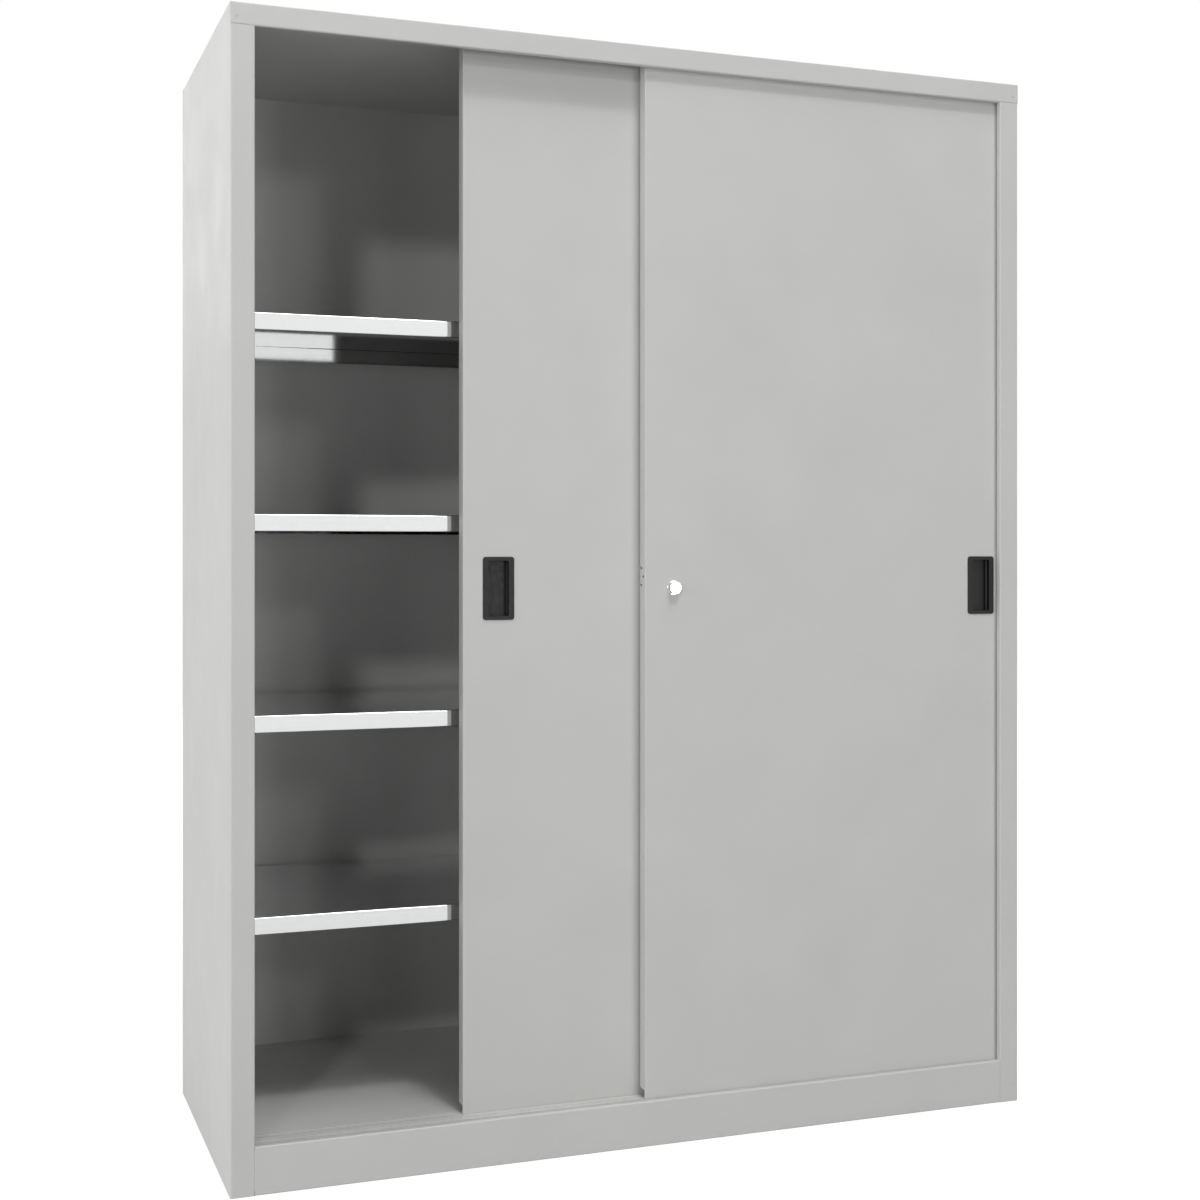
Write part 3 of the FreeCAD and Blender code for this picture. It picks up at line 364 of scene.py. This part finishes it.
def extruded_aluminium():
    """Mill finish extrusion, with die lines along its length."""
    look = Finish("extruded_aluminium_mill_finish")
    lines = look.noise(900, 3.0, (0.004, 1.0, 1.0))
    return look.done(Base_Color=look.mix(lines, colour("#c4c5c7"), colour("#d6d7d8")),
                     Metallic=1.0, Roughness=look.spread(lines, 0.25, 0.4),
                     Normal=look.bump(lines, 0.2, 0.02))


def moulded_plastic():
    """Black moulded plastic with a fine spark-eroded grain."""
    look = Finish("black_moulded_plastic")
    grain = look.add("ShaderNodeTexVoronoi", {"Vector": look.spot, "Scale": 1600.0})
    gloss = look.spread(look.noise(120, 3.0), 0.36, 0.5)
    return look.done(Base_Color=look.mix(look.noise(30, 3.0), colour("#18181a"),
                                         colour("#1e1e1f")),
                     Roughness=gloss, Specular_IOR_Level=0.26,
                     Normal=look.bump(grain.outputs["Distance"], 0.15, 0.03))


def nylon():
    """Natural white nylon, a little waxy."""
    look = Finish("natural_white_nylon")
    base = look.mix(look.spread(look.noise(80, 3.0), 0, 1), colour("#e9e6db"), colour("#dfdccf"))
    return look.done(Base_Color=base, Roughness=look.spread(look.noise(200, 2.0), 0.35, 0.45),
                     Normal=look.bump(look.noise(500, 2.0), 0.1, 0.03))


def chrome():
    """Polished chrome plate with hairline wipe marks."""
    look = Finish("polished_chrome_plate")
    marks = look.noise(1500, 2.0, (0.3, 1.0, 1.0))
    return look.done(Base_Color=look.mix(marks, colour("#e8e9ea"), colour("#dfe0e2")),
                     Metallic=1.0, Roughness=look.spread(marks, 0.05, 0.12))


def key_plug_painted_shade():
    """Chrome plate on the plug's face. Inside the keyway it is painted near black and matt, as
    painted shade standing in for the keyway's shadow.
    """
    look = Finish("chrome_plate_with_painted_keyway_shade")
    depth = look.add("ShaderNodeSeparateXYZ", {0: look.spot}).outputs["Y"]
    face = to_row((0, LOCK_FACE, 0)).y
    # painted shade: faces more than 0.4 mm behind the plug's face turn near black and matt,
    # standing in for the shadow inside the keyway
    inside = look.spread(depth, 0, 1, face + 0.4 * MM, face + 0.7 * MM)
    return look.done(Base_Color=look.mix(inside, colour("#e4e5e6"), colour("#0d0c0b")),
                     Metallic=look.spread(inside, 1, 0, 0, 1),
                     Roughness=look.spread(inside, 0.08, 0.6, 0, 1))


def spring_wire():
    """Drawn and tempered steel wire, slightly oiled."""
    look = Finish("drawn_spring_steel_wire")
    lines = look.noise(1200, 2.0)
    return look.done(Base_Color=look.mix(lines, colour("#8d8c8a"), colour("#a19f9b")),
                     Metallic=1.0, Roughness=look.spread(lines, 0.22, 0.35))


def rubber():
    """Black moulded rubber with a dusty bloom."""
    look = Finish("black_moulded_rubber")
    bloom = look.spread(look.noise(60, 4.0), 0, 1)
    return look.done(Base_Color=look.mix(bloom, colour("#262626"), colour("#333231")),
                     Roughness=look.spread(bloom, 0.62, 0.8),
                     Normal=look.bump(look.noise(700, 2.0), 0.2, 0.03))


FINISHES = {
    "grey_paint": powder_coat(),
    "galvanised_steel": galvanised(),
    "zinc_steel": zinc_plate(),
    "aluminium": extruded_aluminium(),
    "black_plastic": moulded_plastic(),
    "white_nylon": nylon(),
    "chrome": chrome(),
    "spring_steel": spring_wire(),
    "black_rubber": rubber(),
}
record = frame["record"]
SLOT_OF = {part["node"]: part["material_slot"] for part in record["subparts"]}
BODY_OF = {node: body for body, nodes in record["behaviour"]["bodies"].items()
           for node in nodes}


def show(shape, node, edge=0.2, finish=None):
    """Stands a shape in for its CAD node, with eased edges, its finish and its body."""
    obj = shape.to_object(node + "_look")
    for face in obj.data.polygons:
        face.use_smooth = True
    if edge:
        bevel = obj.modifiers.new("eased_edges", "BEVEL")
        bevel.width = edge * MM
        bevel.segments = 2
        bevel.limit_method = "ANGLE"
        bevel.angle_limit = CREASE
    obj.data.set_sharp_from_angle(angle=CREASE)
    even = obj.modifiers.new("even_shading", "WEIGHTED_NORMAL")
    even.keep_sharp = True
    obj.data.materials.append(finish or FINISHES[SLOT_OF[node]])
    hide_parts(node)
    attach(obj, BODY_OF[node])
    return obj


# ---------------------------------------------------------------- carcass

# top of the rail's hooked lower edge, and the rivets that hold its ends
RAIL_HOOK = SEAM + 10
CORNER_RIVETS = [(across, 0, HEIGHT - 24.5) for across in (11, WIDTH - 11)]
# the deck's front edge, and the floor's bed and the troughs' bottoms below the deck
DECK_FRONT, TRACK_BED, TRACK_LOW = 62.5, 75, 76.5
# back edge of the track, then the back and front edge of each flat between its troughs
TRACK_BACK = 61.8
TRACK_FLATS = ((59.5, 55.5), (53.2, 47.4), (44, 31.8), (29.5, 25.5), (23.2, 17.4), (14, 11.6))
# fronts of the flats whose folds are a little rounder than the rest
TRACK_ROUNDED = 55.5, 25.5
# inner radius that leaves a crisp corner: none within and 0.3 mm without
CRISP = -0.7


def make_side(hand):
    """Side sheet with its stile. A tongue at the top laps behind the rail."""
    path = [(BACK_FLANGE, DEPTH), (0, DEPTH), (0, 0), (STILE, 0), (STILE, RETURN), (30, RETURN)]
    shape = Shape().prism(strip(path, GAUGE, FOLD), "z", 0, HEIGHT)
    # the two boxes stand a hair apart, so that they share no face
    notch = Shape().box((-PAST, -PAST, SEAM), (STILE + PAST, GAUGE, HEIGHT + PAST))
    notch.box((GAUGE, GAUGE + 0.001, SEAM), (STILE + PAST, RETURN + PAST, HEIGHT + PAST))
    shape.minus(notch)
    shape.box((GAUGE, GAUGE, SEAM - 14), (36, 2 * GAUGE, HEIGHT - OUTER))
    if hand == "right":
        shape.mirrored()
    show(shape, f"side_{hand}")


def make_top():
    """Top sheet with the front rail. Its corners are trimmed to fit between the sides."""
    path = [(DEPTH, HEIGHT - BACK_FLANGE), (DEPTH, HEIGHT), (0, HEIGHT), (0, SEAM),
            (RETURN, SEAM), (RETURN, RAIL_HOOK)]
    shape = Shape().prism(strip(path, GAUGE, FOLD), "x", 0, WIDTH)
    far, over, under = DEPTH + PAST, HEIGHT + PAST, SEAM - PAST
    for inner, low, high in ((STILE, (GAUGE, under), (RETURN + PAST, RAIL_HOOK)),
                             (GAUGE, (GAUGE, under), (far, over)),
                             (BACK_FLANGE, (DEPTH - GAUGE, under), (far, over)),
                             (OUTER, (DEPTH - OUTER, under), (far, over))):
        trims = Shape()
        for left, right in ((-PAST, inner), (WIDTH - inner, WIDTH + PAST)):
            trims.box((left, *low), (right, *high))
        shape.minus(trims)
    dimples = Shape()
    for centre in CORNER_RIVETS:
        dimples.lathe([(0, -1), (3.05, -1), (3.05, 0.5), (2.05, 0.5), (2.05, 1.5), (0, 1.5)],
                      centre, "y", 40)
    show(shape.minus(dimples), "top_panel")


def make_corner_rivets():
    """Rivets with hollow heads in the dimples at the rail's ends."""
    shape = Shape()
    for centre in CORNER_RIVETS:
        profile = rounded([(0, 1.3), (1.1, 1.3), (1.3, 0), (3, 0), (3, 0.5), (2, 0.5), (2, 2),
                           (3, 2), (3, 3), (0, 3)],
                          [0, 0.1, 0.15, 0.3, 0, 0, 0, 0, 0.3, 0], 3)
        shape.lathe(profile, centre, "y", 40)
    show(shape, "corner_rivets", 0)


def make_back():
    show(Shape().box((OUTER, DEPTH - 2 * GAUGE, PLINTH - GAUGE),
                     (WIDTH - OUTER, DEPTH - GAUGE, HEIGHT - OUTER)), "back_panel")


def make_floor():
    """Floor sheet: the deck, and a lower bed for the track in front of it."""
    path = [(DEPTH - 2 * GAUGE, PLINTH), (DECK_FRONT, PLINTH), (DECK_FRONT, TRACK_BED),
            (GAUGE, TRACK_BED)]
    shape = Shape().prism(strip(path, GAUGE, [0, CRISP, 0.2, 0]), "x", GAUGE, WIDTH - GAUGE)
    corners = Shape()
    for inner, front, back in ((STILE, 0.5, RETURN), (OUTER, DEPTH - OUTER, DEPTH + PAST)):
        for left, right in ((0.5, inner), (WIDTH - inner, WIDTH - 0.5)):
            corners.box((left, front, TRACK_BED - 5), (right, back, PLINTH + PAST))
    show(shape.minus(corners), "bottom_panel")


def make_plinths():
    """Front plinth, whose top folds down onto the floor's bed, and rear plinth."""
    front = strip([(11, TRACK_BED), (11, PLINTH), (0, PLINTH), (0, 0), (20, 0)], GAUGE, FOLD)
    show(Shape().prism(front, "x", STILE, WIDTH - STILE), "plinth_front")
    back, top = DEPTH - GAUGE, PLINTH - GAUGE
    rear = strip([(back - 20, 0), (back, 0), (back, top), (back - 20, top)], GAUGE, FOLD)
    show(Shape().prism(rear, "x", OUTER, WIDTH - OUTER), "plinth_rear")


def make_tracks():
    """Bottom track and top guide channel, both along the whole width."""
    path = [(TRACK_BACK, TRACK_LOW)]
    for back, front in TRACK_FLATS:
        path += [(back, TRACK_LOW), (back, PLINTH), (front, PLINTH), (front, TRACK_LOW)]
    path = path[:-1]
    bends = [0.1 if across in TRACK_ROUNDED else CRISP for across, _ in path]
    show(Shape().prism(strip(path, GAUGE, bends, 5), "x", GAUGE, WIDTH - GAUGE), "track_bottom", 0)
    foot, web, top = 1932, 1947.5, HEIGHT - GAUGE
    channel = [(12, foot), (13.5, foot), (13.5, web), (41.75, web), (41.75, foot), (43.25, foot),
               (43.25, web), (71.5, web), (71.5, foot), (73, foot), (73, top), (12, top)]
    show(Shape().prism(channel, "x", 1.5, WIDTH - 1.5), "track_top", 0.3)


def make_uprights():
    """Channels against the sides, with a slot for a shelf clip at each third of a pitch."""
    for row, back in UPRIGHT_BACKS.items():
        for hand in ("left", "right"):
            path = [(GAUGE, back - 25), (9, back - 25), (9, back), (GAUGE, back)]
            shape = Shape().prism(strip(path, GAUGE, FOLD), "z", PLINTH, HEIGHT - GAUGE)
            slots = Shape()
            for step in range(10):
                seat = SHELF_LOW - 9 + step * SHELF_PITCH / 3
                slots.prism(rectangle(back - 14.2, seat, back - 10.8, seat + 12, 0.8, 3),
                            "x", 6, 12)
            shape.minus(slots)
            if hand == "right":
                shape.mirrored()
            show(shape, f"upright_{row}_{hand}")


def make_shelves():
    """Shelves with a lip at front and back, the front one turned in at its foot."""
    front, back, lip, gap = 95, 585, 29, 10
    for number, top in enumerate(SHELF_TOPS, start=1):
        low = top - lip
        path = [(back, low), (back, top), (front, top), (front, low), (front + 15, low)]
        show(Shape().prism(strip(path, GAUGE, 1, 10), "x", gap, WIDTH - gap),
             f"shelf_{number}", 0.15)


# ---------------------------------------------------------------- doors

# each door's left edge, and its face behind the cabinet's front plane, at rest
FRONT_LEFT, FRONT_FACE = 734, 15
REAR_LEFT, REAR_FACE = 406, 45
DOORS = {"front": (FRONT_LEFT, FRONT_FACE), "rear": (REAR_LEFT, REAR_FACE)}
# how far the doors' skins reach down into the track's troughs, and how far their ribs stop short
SKIRT_DROP, RIB_GAP = 2, 60
# rollers and guides: their distance from the door's edges
CARRIAGE = 60
HANDLE_LEFT = {"front": FRONT_LEFT + DOOR_WIDTH - 93, "rear": REAR_LEFT + 36}
HANDLE_WIDTH, HANDLE_LOW, HANDLE_TALL = 57, 934.5, 110
# the lock's centre, and its barrel's face behind the cabinet's front plane
LOCK_X, LOCK_Z, LOCK_FACE = FRONT_LEFT + 55, 989, 4
# rivets and slots in the door flanges, as depth behind the door's face and height
RIVETS = ((18, 1020), (9, 1008), (18, 994))
FLANGE_SLOTS = ((18, 1024.5), (9, 1009.3), (18, 994))


def make_door(door):
    """Folded pan of a door. The flanges are cut away at the foot, clear of the track."""
    left, face = DOORS[door]
    right, back = left + DOOR_WIDTH, face + DOOR_THICK
    hook, lap = 14, 3.5
    path = [(left + hook, back), (left, back), (left, face), (right, face), (right, back),
            (right - hook, back)]
    shape = Shape().prism(strip(path, GAUGE, 0.8, 6), "z", DOOR_BASE - SKIRT_DROP, DOOR_TOP)
    cuts = Shape().box((left - PAST, face + 3, DOOR_BASE - 4), (right + PAST, back + PAST, 94.5))
    handle = HANDLE_LEFT[door]
    cuts.box((handle + lap, face - PAST, HANDLE_LOW + lap),
             (handle + HANDLE_WIDTH - lap, face + PAST, HANDLE_LOW + HANDLE_TALL - lap))
    if door == "front":
        cuts.lathe([(0, -PAST), (11.7, -PAST), (11.7, PAST), (0, PAST)],
                   (LOCK_X, face, LOCK_Z), "y")
        for depth, height in FLANGE_SLOTS:
            slot = rectangle(face + depth - 3.5, height - 2.1, face + depth + 3.5, height + 2.1,
                             2, 4)
            cuts.prism(slot, "x", left - 1, left + 2)
    else:
        for depth, height in RIVETS:
            cuts.lathe([(0, -1), (1.55, -1), (1.55, 2), (0, 2)],
                       (right - 1, face + depth, height), "x", 24)
    shape.minus(cuts)
    low = DOOR_TOP - GAUGE
    head = Shape().box((left + GAUGE, face + GAUGE, low), (right - GAUGE, back, DOOR_TOP))
    feet = Shape()
    for across in (left + CARRIAGE, right - CARRIAGE):
        feet.lathe([(0, -3), (4.05, -3), (4.05, 3), (0, 3)],
                   (across, face + DOOR_THICK / 2, DOOR_TOP), "z", 32)
    shape.with_shape(head.minus(feet))
    shape.box((left + hook, back - GAUGE, DOOR_TOP - hook), (right - hook, back, low))
    show(shape, f"door_{door}")


def make_rib(door):
    """Hat-shaped stiffener down the middle of a door, on the inside of its skin."""
    left, face = DOORS[door]
    middle, skin, crown = left + DOOR_WIDTH / 2, face + 2 * GAUGE, face + 16
    path = [(middle + 40, skin), (middle + 25, skin), (middle + 25, crown), (middle - 25, crown),
            (middle - 25, skin), (middle - 40, skin)]
    show(Shape().prism(strip(path, GAUGE, FOLD), "z", DOOR_BASE + RIB_GAP, DOOR_TOP - RIB_GAP),
         f"door_{door}_rib")


def make_handle(door):
    """Moulded pull: a bezel on the skin and a tub behind it, with its well undercut."""
    left, face = HANDLE_LEFT[door], DOORS[door][1]
    right, low, high = left + HANDLE_WIDTH, HANDLE_LOW, HANDLE_LOW + HANDLE_TALL
    bezel = rectangle(left, low, right, high, 5)
    tub = rectangle(left + 3.75, low + 3.75, right - 3.75, high - 3.75, 1.5, 4)
    well = rectangle(left + 10, low + 6.5, right - 10, high - 6.5, 3)
    undercut = rectangle(right - 12, low + 9.5, right - 6.5, high - 9.5, 0.8, 3)
    slope = [(right - 9.5, face + 5.7), (right - 10.2, face + 5.7), (right - 12.6, face + 8.1),
             (right - 12.6, face + 12.5), (right - 9.5, face + 12.5)]
    shape = Shape().prism(bezel, "y", face - 1.5, face)
    shape.joined(Shape().prism(tub, "y", face - 0.5, face + 13.5))
    shape.minus(Shape().prism(well, "y", face - 3, face + 12))
    shape.minus(Shape().prism(undercut, "y", face + 1, face + 6))
    shape.joined(Shape().prism(slope, "z", low + 6, high - 6))
    show(shape, f"handle_{door}", 0.6)


def make_roller_set(door, side):
    """Bracket, axle and grooved roller at a door's foot, and the guide block above them."""
    left, face = DOORS[door]
    across = left + CARRIAGE if side == "left" else left + DOOR_WIDTH - CARRIAGE
    skin, back, up = face + GAUGE, face + 22, 92.2
    foot, top, half_width = DOOR_BASE + 2.5, DOOR_BASE + 33, 18
    bracket = strip([(back, foot), (back, top), (skin, top), (skin, foot)], 2, FOLD)
    bracket = Shape().prism(bracket, "x", across - half_width, across + half_width)
    bore = Shape().lathe([(0, -1), (3.05, -1), (3.05, 23), (0, 23)], (across, skin, up), "y", 32)
    show(bracket.minus(bore), f"roller_bracket_{door}_{side}", 0.3)

    axle = rounded([(0, 0.3), (3, 0.3), (3, 21), (5, 21), (5, 22.5), (0, 22.5)],
                   [0, 0.4, 0, 0.3, 0.8, 0], 4)
    show(Shape().lathe(axle, (across, skin, up), "y", 40), f"axle_{door}_{side}", 0)

    tread = [(3.05, 3.3), (6, 3.3), (6, 8.5), (14, 8.5), (14, 9.7), (12, 10.2), (12, 14.8),
             (14, 15.3), (14, 16.5), (6, 16.5), (6, 19.7), (3.05, 19.7)]
    tread = rounded(tread, [0.3, 0.4, 0.4, 0.5, 0.3, 0.3, 0.3, 0.3, 0.5, 0.4, 0.4, 0.3], 4)
    show(Shape().lathe(tread, (across, face, up), "y", 72), f"roller_{door}_{side}", 0)

    block = rectangle(across - 25, face + 0.5, across + 25, face + 24.5, 6)
    block = Shape().prism(block, "z", DOOR_TOP, DOOR_TOP + 15)
    plug = rounded([(0, -4), (5, -4), (5, -1), (4, -1), (4, 0.01), (0, 0.01)],
                   [0, 0.8, 0.4, 0, 0, 0], 3)
    block.lathe(plug, (across, face + DOOR_THICK / 2, DOOR_TOP), "z", 32)
    show(block, f"top_guide_{door}_{side}", 1.2)


# ---------------------------------------------------------------- lock, strike and buffers

def make_lock():
    """Push lock: housing, nut, barrel with its bolt, key plug and spring."""
    centre = (LOCK_X, FRONT_FACE, LOCK_Z)
    housing = [(11.05, -0.3), (11.9, -0.3), (12.1, 0), (11.65, 0), (11.65, 1.2), (12.5, 1.2),
               (12.5, 19.5), (4.05, 19.5), (4.05, 18), (11.65, 18), (11.65, 1), (11.05, 1)]
    housing = rounded(housing, [0.1, 0.15, 0, 0, 0, 0, 0.4, 0.2, 0.2, 0.3, 0, 0], 5)
    show(Shape().lathe(housing, centre, "y", 96), "lock_housing", 0)

    # the nut is round, with a flat on either side
    nut, radius, half_flats, steps = [], 16, 14, 96
    for step in range(steps):
        turn = math.tau * step / steps
        across = max(-half_flats, min(half_flats, math.cos(turn) * radius))
        nut.append((across + LOCK_X, math.sin(turn) * radius + LOCK_Z))
    nut = Shape().prism(nut, "y", 16, 20)
    bore = Shape().lathe([(0, 14), (12.55, 14), (12.55, 22), (0, 22)], (LOCK_X, 0, LOCK_Z),
                         "y", 96)
    show(nut.minus(bore), "lock_nut", 0.3)

    barrel = [(6.55, 0), (11, 0), (11, 12.4), (11.6, 12.4), (11.6, 16), (4, 16), (4, 29.3),
              (0, 29.3), (0, 13.3), (6.55, 13.3)]
    barrel = rounded(barrel, [0.25, 0.9, 0, 0.2, 0.3, 0.2, 0.6, 0, 0, 0], 5)
    show(Shape().lathe(barrel, (LOCK_X, LOCK_FACE, LOCK_Z), "y", 96), "lock_barrel", 0)

    plug = Shape().lathe(rounded([(0, 0.15), (6.5, 0.15), (6.5, 13), (0, 13)],
                                 [0, 0.4, 0.3, 0], 4), (LOCK_X, LOCK_FACE, LOCK_Z), "y", 96)
    keyway = rectangle(LOCK_X - 1.7, LOCK_Z - 5.4, LOCK_X + 1.7, LOCK_Z + 5.4, 0.4, 3)
    plug.minus(Shape().prism(keyway, "y", LOCK_FACE - 1, LOCK_FACE + 7))
    # the plug's finish paints the keyway's shadow into its colour
    show(plug, "lock_plug", 0.2, key_plug_painted_shade())

    # the barrel presses the spring against the housing's floor, to 3 of its 13 mm
    start, floor = 20, 33
    spring = show(Shape().coil(6.45, 0.45, 0.5, 12.2, 3.5, (LOCK_X, start, LOCK_Z)),
                  "lock_spring", 0)
    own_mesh(spring)


def make_strike():
    """Strike plate at the rear door's right edge, with a tab in front of the door."""
    edge, tail, tab, reach = REAR_LEFT + DOOR_WIDTH, 67, 41.75, 18.5
    low, high = 987, 1029
    shape = Shape().prism(strip([(edge, tail), (edge, tab), (edge + reach, tab)], 1.5, 0.8),
                          "z", low, high)
    holes = Shape()
    for depth, height in RIVETS:
        holes.lathe([(0, -1), (1.55, -1), (1.55, 3), (0, 3)],
                    (edge, REAR_FACE + depth, height), "x", 24)
    show(shape.minus(holes), "strike_plate", 0.25)
    rivets = Shape()
    profile = rounded([(0, -1.9), (2.3, -1.9), (2.3, -1), (1.5, -1), (1.5, 1.5), (2.8, 1.5),
                       (2.8, 2.4), (0, 2.4)], [0, 0.4, 0, 0, 0, 0, 0.8, 0], 4)
    for depth, height in RIVETS:
        rivets.lathe(profile, (edge, REAR_FACE + depth, height), "x", 24)
    show(rivets, "strike_rivets", 0)


def make_clips():
    """Hooked clips under the shelves, with a tongue each through an upright's slot."""
    for number, top in enumerate(SHELF_TOPS, start=1):
        shape = Shape()
        seat = top - GAUGE
        outline = [(9, seat), (9, seat - 3), (6, seat - 3), (6, seat - 11), (7.8, seat - 11),
                   (7.8, seat - 8), (9, seat - 8), (9, seat - 16), (13, seat - 16),
                   (25, seat - 4), (25, seat)]
        for back in UPRIGHT_BACKS.values():
            middle = back - 12.5
            shape.prism(outline, "y", middle - 1.5, middle + 1.5)
            other = [(WIDTH - across, up) for across, up in outline]
            shape.prism(other, "y", middle - 1.5, middle + 1.5)
        show(shape, f"shelf_clips_{number}", 0.25)


def make_buffers():
    """Rubber stops on the sides. One is longer, because the strike plate stands out there."""
    radius, short, long, up = 8, 7.5, 19.5, 300
    for door, (_, face) in DOORS.items():
        for side in ("left", "right"):
            length = long if (door, side) == ("rear", "right") else short
            profile = rounded([(0, 0), (radius, 0), (radius, length), (0, length)],
                              [0, 0, 1.2, 0], 5)
            if side == "right":
                profile = [(reach, -along) for reach, along in profile]
            start = GAUGE if side == "left" else WIDTH - GAUGE
            show(Shape().lathe(profile, (start, face + DOOR_THICK / 2, up), "x", 48),
                 f"buffer_{door}_{side}", 0)


make_side("left")
make_side("right")
make_top()
make_corner_rivets()
make_back()
make_floor()
make_plinths()
make_tracks()
make_uprights()
make_shelves()
make_clips()
for door_name in DOORS:
    make_door(door_name)
    make_rib(door_name)
    make_handle(door_name)
    for side_name in ("left", "right"):
        make_roller_set(door_name, side_name)
make_lock()
make_strike()
make_buffers()


# ---------------------------------------------------------------- studio

def math_node(tree, operation, *given):
    node = tree.nodes.new("ShaderNodeMath")
    node.operation = operation
    for place, value in enumerate(given):
        if isinstance(value, bpy.types.NodeSocket):
            tree.links.new(value, node.inputs[place])
        else:
            node.inputs[place].default_value = value
    return node.outputs[0]


def white_to_sight(tree, shader, lit):
    """Shows one shader to the eye and in mirrors, and lights matt surfaces by the other."""
    paths = tree.nodes.new("ShaderNodeLightPath").outputs
    seen = math_node(tree, "MAXIMUM", paths["Is Camera Ray"], paths["Is Glossy Ray"])
    seen = math_node(tree, "MAXIMUM", seen, paths["Is Transmission Ray"])
    matt = math_node(tree, "GREATER_THAN", paths["Diffuse Depth"], 0.5)
    seen = math_node(tree, "MULTIPLY", seen,
                     math_node(tree, "MULTIPLY_ADD", matt, MIRROR_SPILL - 1, 1))
    mix = tree.nodes.new("ShaderNodeMixShader")
    tree.links.new(seen, mix.inputs[0])
    tree.links.new(lit, mix.inputs[1])
    tree.links.new(shader, mix.inputs[2])
    return mix.outputs[0]


# strength of the even light from all round
WORLD_LIGHT = 0.08
# the stage floor's glow beside the cabinet, its tone under the lamps, and the distances in
# metres between which the glow rises to white
FLOOR_GLOW, FLOOR_SHADE, FLOOR_FADE = 0.87, 0.35, (1.6, 3.2)
# the stage floor in mirrors: its glow near and far, and the distances between
MIRROR_GLOW, MIRROR_FADE = (0.9, 0.97), (2.0, 8.0)
# share of the seen white that mirrors throw on matt surfaces
MIRROR_SPILL = 0.35
# each lamp: name, place and target in metres, side in metres, power in watts
LAMPS = [
    ("key_lamp", (0.39, -5.0, 9.51), (-0.55, -0.03, 0.08), 0.7, 121),
    ("key_spread_lamp", (0.77, -5.8, 10.1), (0, -0.3, 1.0), 3.2, 194),
    ("fill_lamp", (-4.03, -6.56, 4.39), (-0.4, 0.3, 1.6), 0.55, 70),
    ("left_lamp", (-6.84, -0.54, 2.46), (0, -0.3, 1.0), 3.0, 203),
    ("low_left_lamp", (-5.4, -6.2, 1.3), (0, -0.3, 1.0), 1.5, 48),
    ("right_lamp", (1.7, -8.2, 3.4), (-0.5, 0.3, 1.2), 0.8, 36),
    ("low_right_lamp", (2.9, -7.6, 1.0), (-0.3, 0.3, 1.0), 1.0, 60),
    ("top_lamp", (0, -1.59, 5.83), (0, -0.3, 1.0), 2.5, 66),
    ("far_side_lamp", (6.8, 1.2, 2.8), (0, 0.3, 1.0), 3.0, 120),
    ("rear_lamp", (0.6, 6.0, 4.9), (0, 0.3, 1.0), 6.0, 190),
]


def make_world():
    """White to the eye, and a weak even light on matt surfaces."""
    world = bpy.data.worlds.new("studio")
    bpy.context.scene.world = world
    world.use_nodes = True
    tree = world.node_tree
    tree.nodes.clear()
    lit = tree.nodes.new("ShaderNodeBackground")
    lit.inputs["Color"].default_value = (1, 1, 1, 1)
    lit.inputs["Strength"].default_value = WORLD_LIGHT
    seen = tree.nodes.new("ShaderNodeBackground")
    seen.inputs["Color"].default_value = (1, 1, 1, 1)
    seen.inputs["Strength"].default_value = 1.0
    out_node = tree.nodes.new("ShaderNodeOutputWorld")
    tree.links.new(white_to_sight(tree, seen.outputs[0], lit.outputs[0]),
                   out_node.inputs["Surface"])


def make_stage_floor():
    """A wide white floor, half a millimetre under the cabinet."""
    data = bpy.data.meshes.new("studio_floor")
    reach, level = 40.0, -0.0005
    data.from_pydata([(-reach, -reach, level), (reach, -reach, level), (reach, reach, level),
                      (-reach, reach, level)], [], [(0, 1, 2, 3)])
    obj = bpy.data.objects.new("studio_floor", data)
    bpy.context.scene.collection.objects.link(obj)
    look = Finish("white_studio_floor")
    matte = look.add("ShaderNodeBsdfDiffuse", {"Color": colour("#cbcbcb")})
    shade = look.add("ShaderNodeBsdfDiffuse", {"Color": (FLOOR_SHADE,) * 3 + (1,)})
    away = look.add("ShaderNodeVectorMath", {0: look.spot}, operation="LENGTH")
    glow = look.add("ShaderNodeEmission", {"Strength": look.spread(
        away.outputs["Value"], FLOOR_GLOW, 1.0, *FLOOR_FADE)})
    both = look.add("ShaderNodeAddShader", {0: shade.outputs[0], 1: glow.outputs[0]})
    mirrored = look.add("ShaderNodeEmission", {"Strength": look.spread(
        away.outputs["Value"], *MIRROR_GLOW, *MIRROR_FADE)})
    paths = look.add("ShaderNodeLightPath")
    seen = look.add("ShaderNodeMixShader", {0: paths.outputs["Is Glossy Ray"],
                                            1: both.outputs[0], 2: mirrored.outputs[0]})
    surface = white_to_sight(look.tree, seen.outputs[0], matte.outputs[0])
    look.add("ShaderNodeOutputMaterial", {"Surface": surface})
    data.materials.append(look.material)


def add_lamp(name, place, target, size, power):
    """A soft square lamp at a place in metres, turned to its target."""
    light = bpy.data.lights.new(name, "AREA")
    light.shape = "SQUARE"
    light.size = size
    light.energy = power
    obj = bpy.data.objects.new(name, light)
    obj.location = place
    obj.rotation_mode = "QUATERNION"
    obj.rotation_quaternion = (Vector(target) - Vector(place)).to_track_quat("-Z", "Y")
    bpy.context.scene.collection.objects.link(obj)


def make_camera():
    """A level camera to the left of the cabinet, looking half right."""
    data = bpy.data.cameras.new("camera")
    data.sensor_width = 36.0
    data.lens = 52.66
    data.shift_x, data.shift_y = 0.01436, -0.04005
    data.clip_start, data.clip_end = 0.1, 100.0
    obj = bpy.data.objects.new("camera", data)
    obj.location = (-1.1933, -3.1782, 1.0530)
    obj.rotation_mode = "QUATERNION"
    obj.rotation_quaternion = Vector((0.3438, 0.9390, 0.0)).to_track_quat("-Z", "Y")
    bpy.context.scene.collection.objects.link(obj)
    bpy.context.scene.camera = obj


make_world()
make_stage_floor()
for lamp in LAMPS:
    add_lamp(*lamp)
make_camera()
bpy.context.scene.view_settings.view_transform = "Standard"
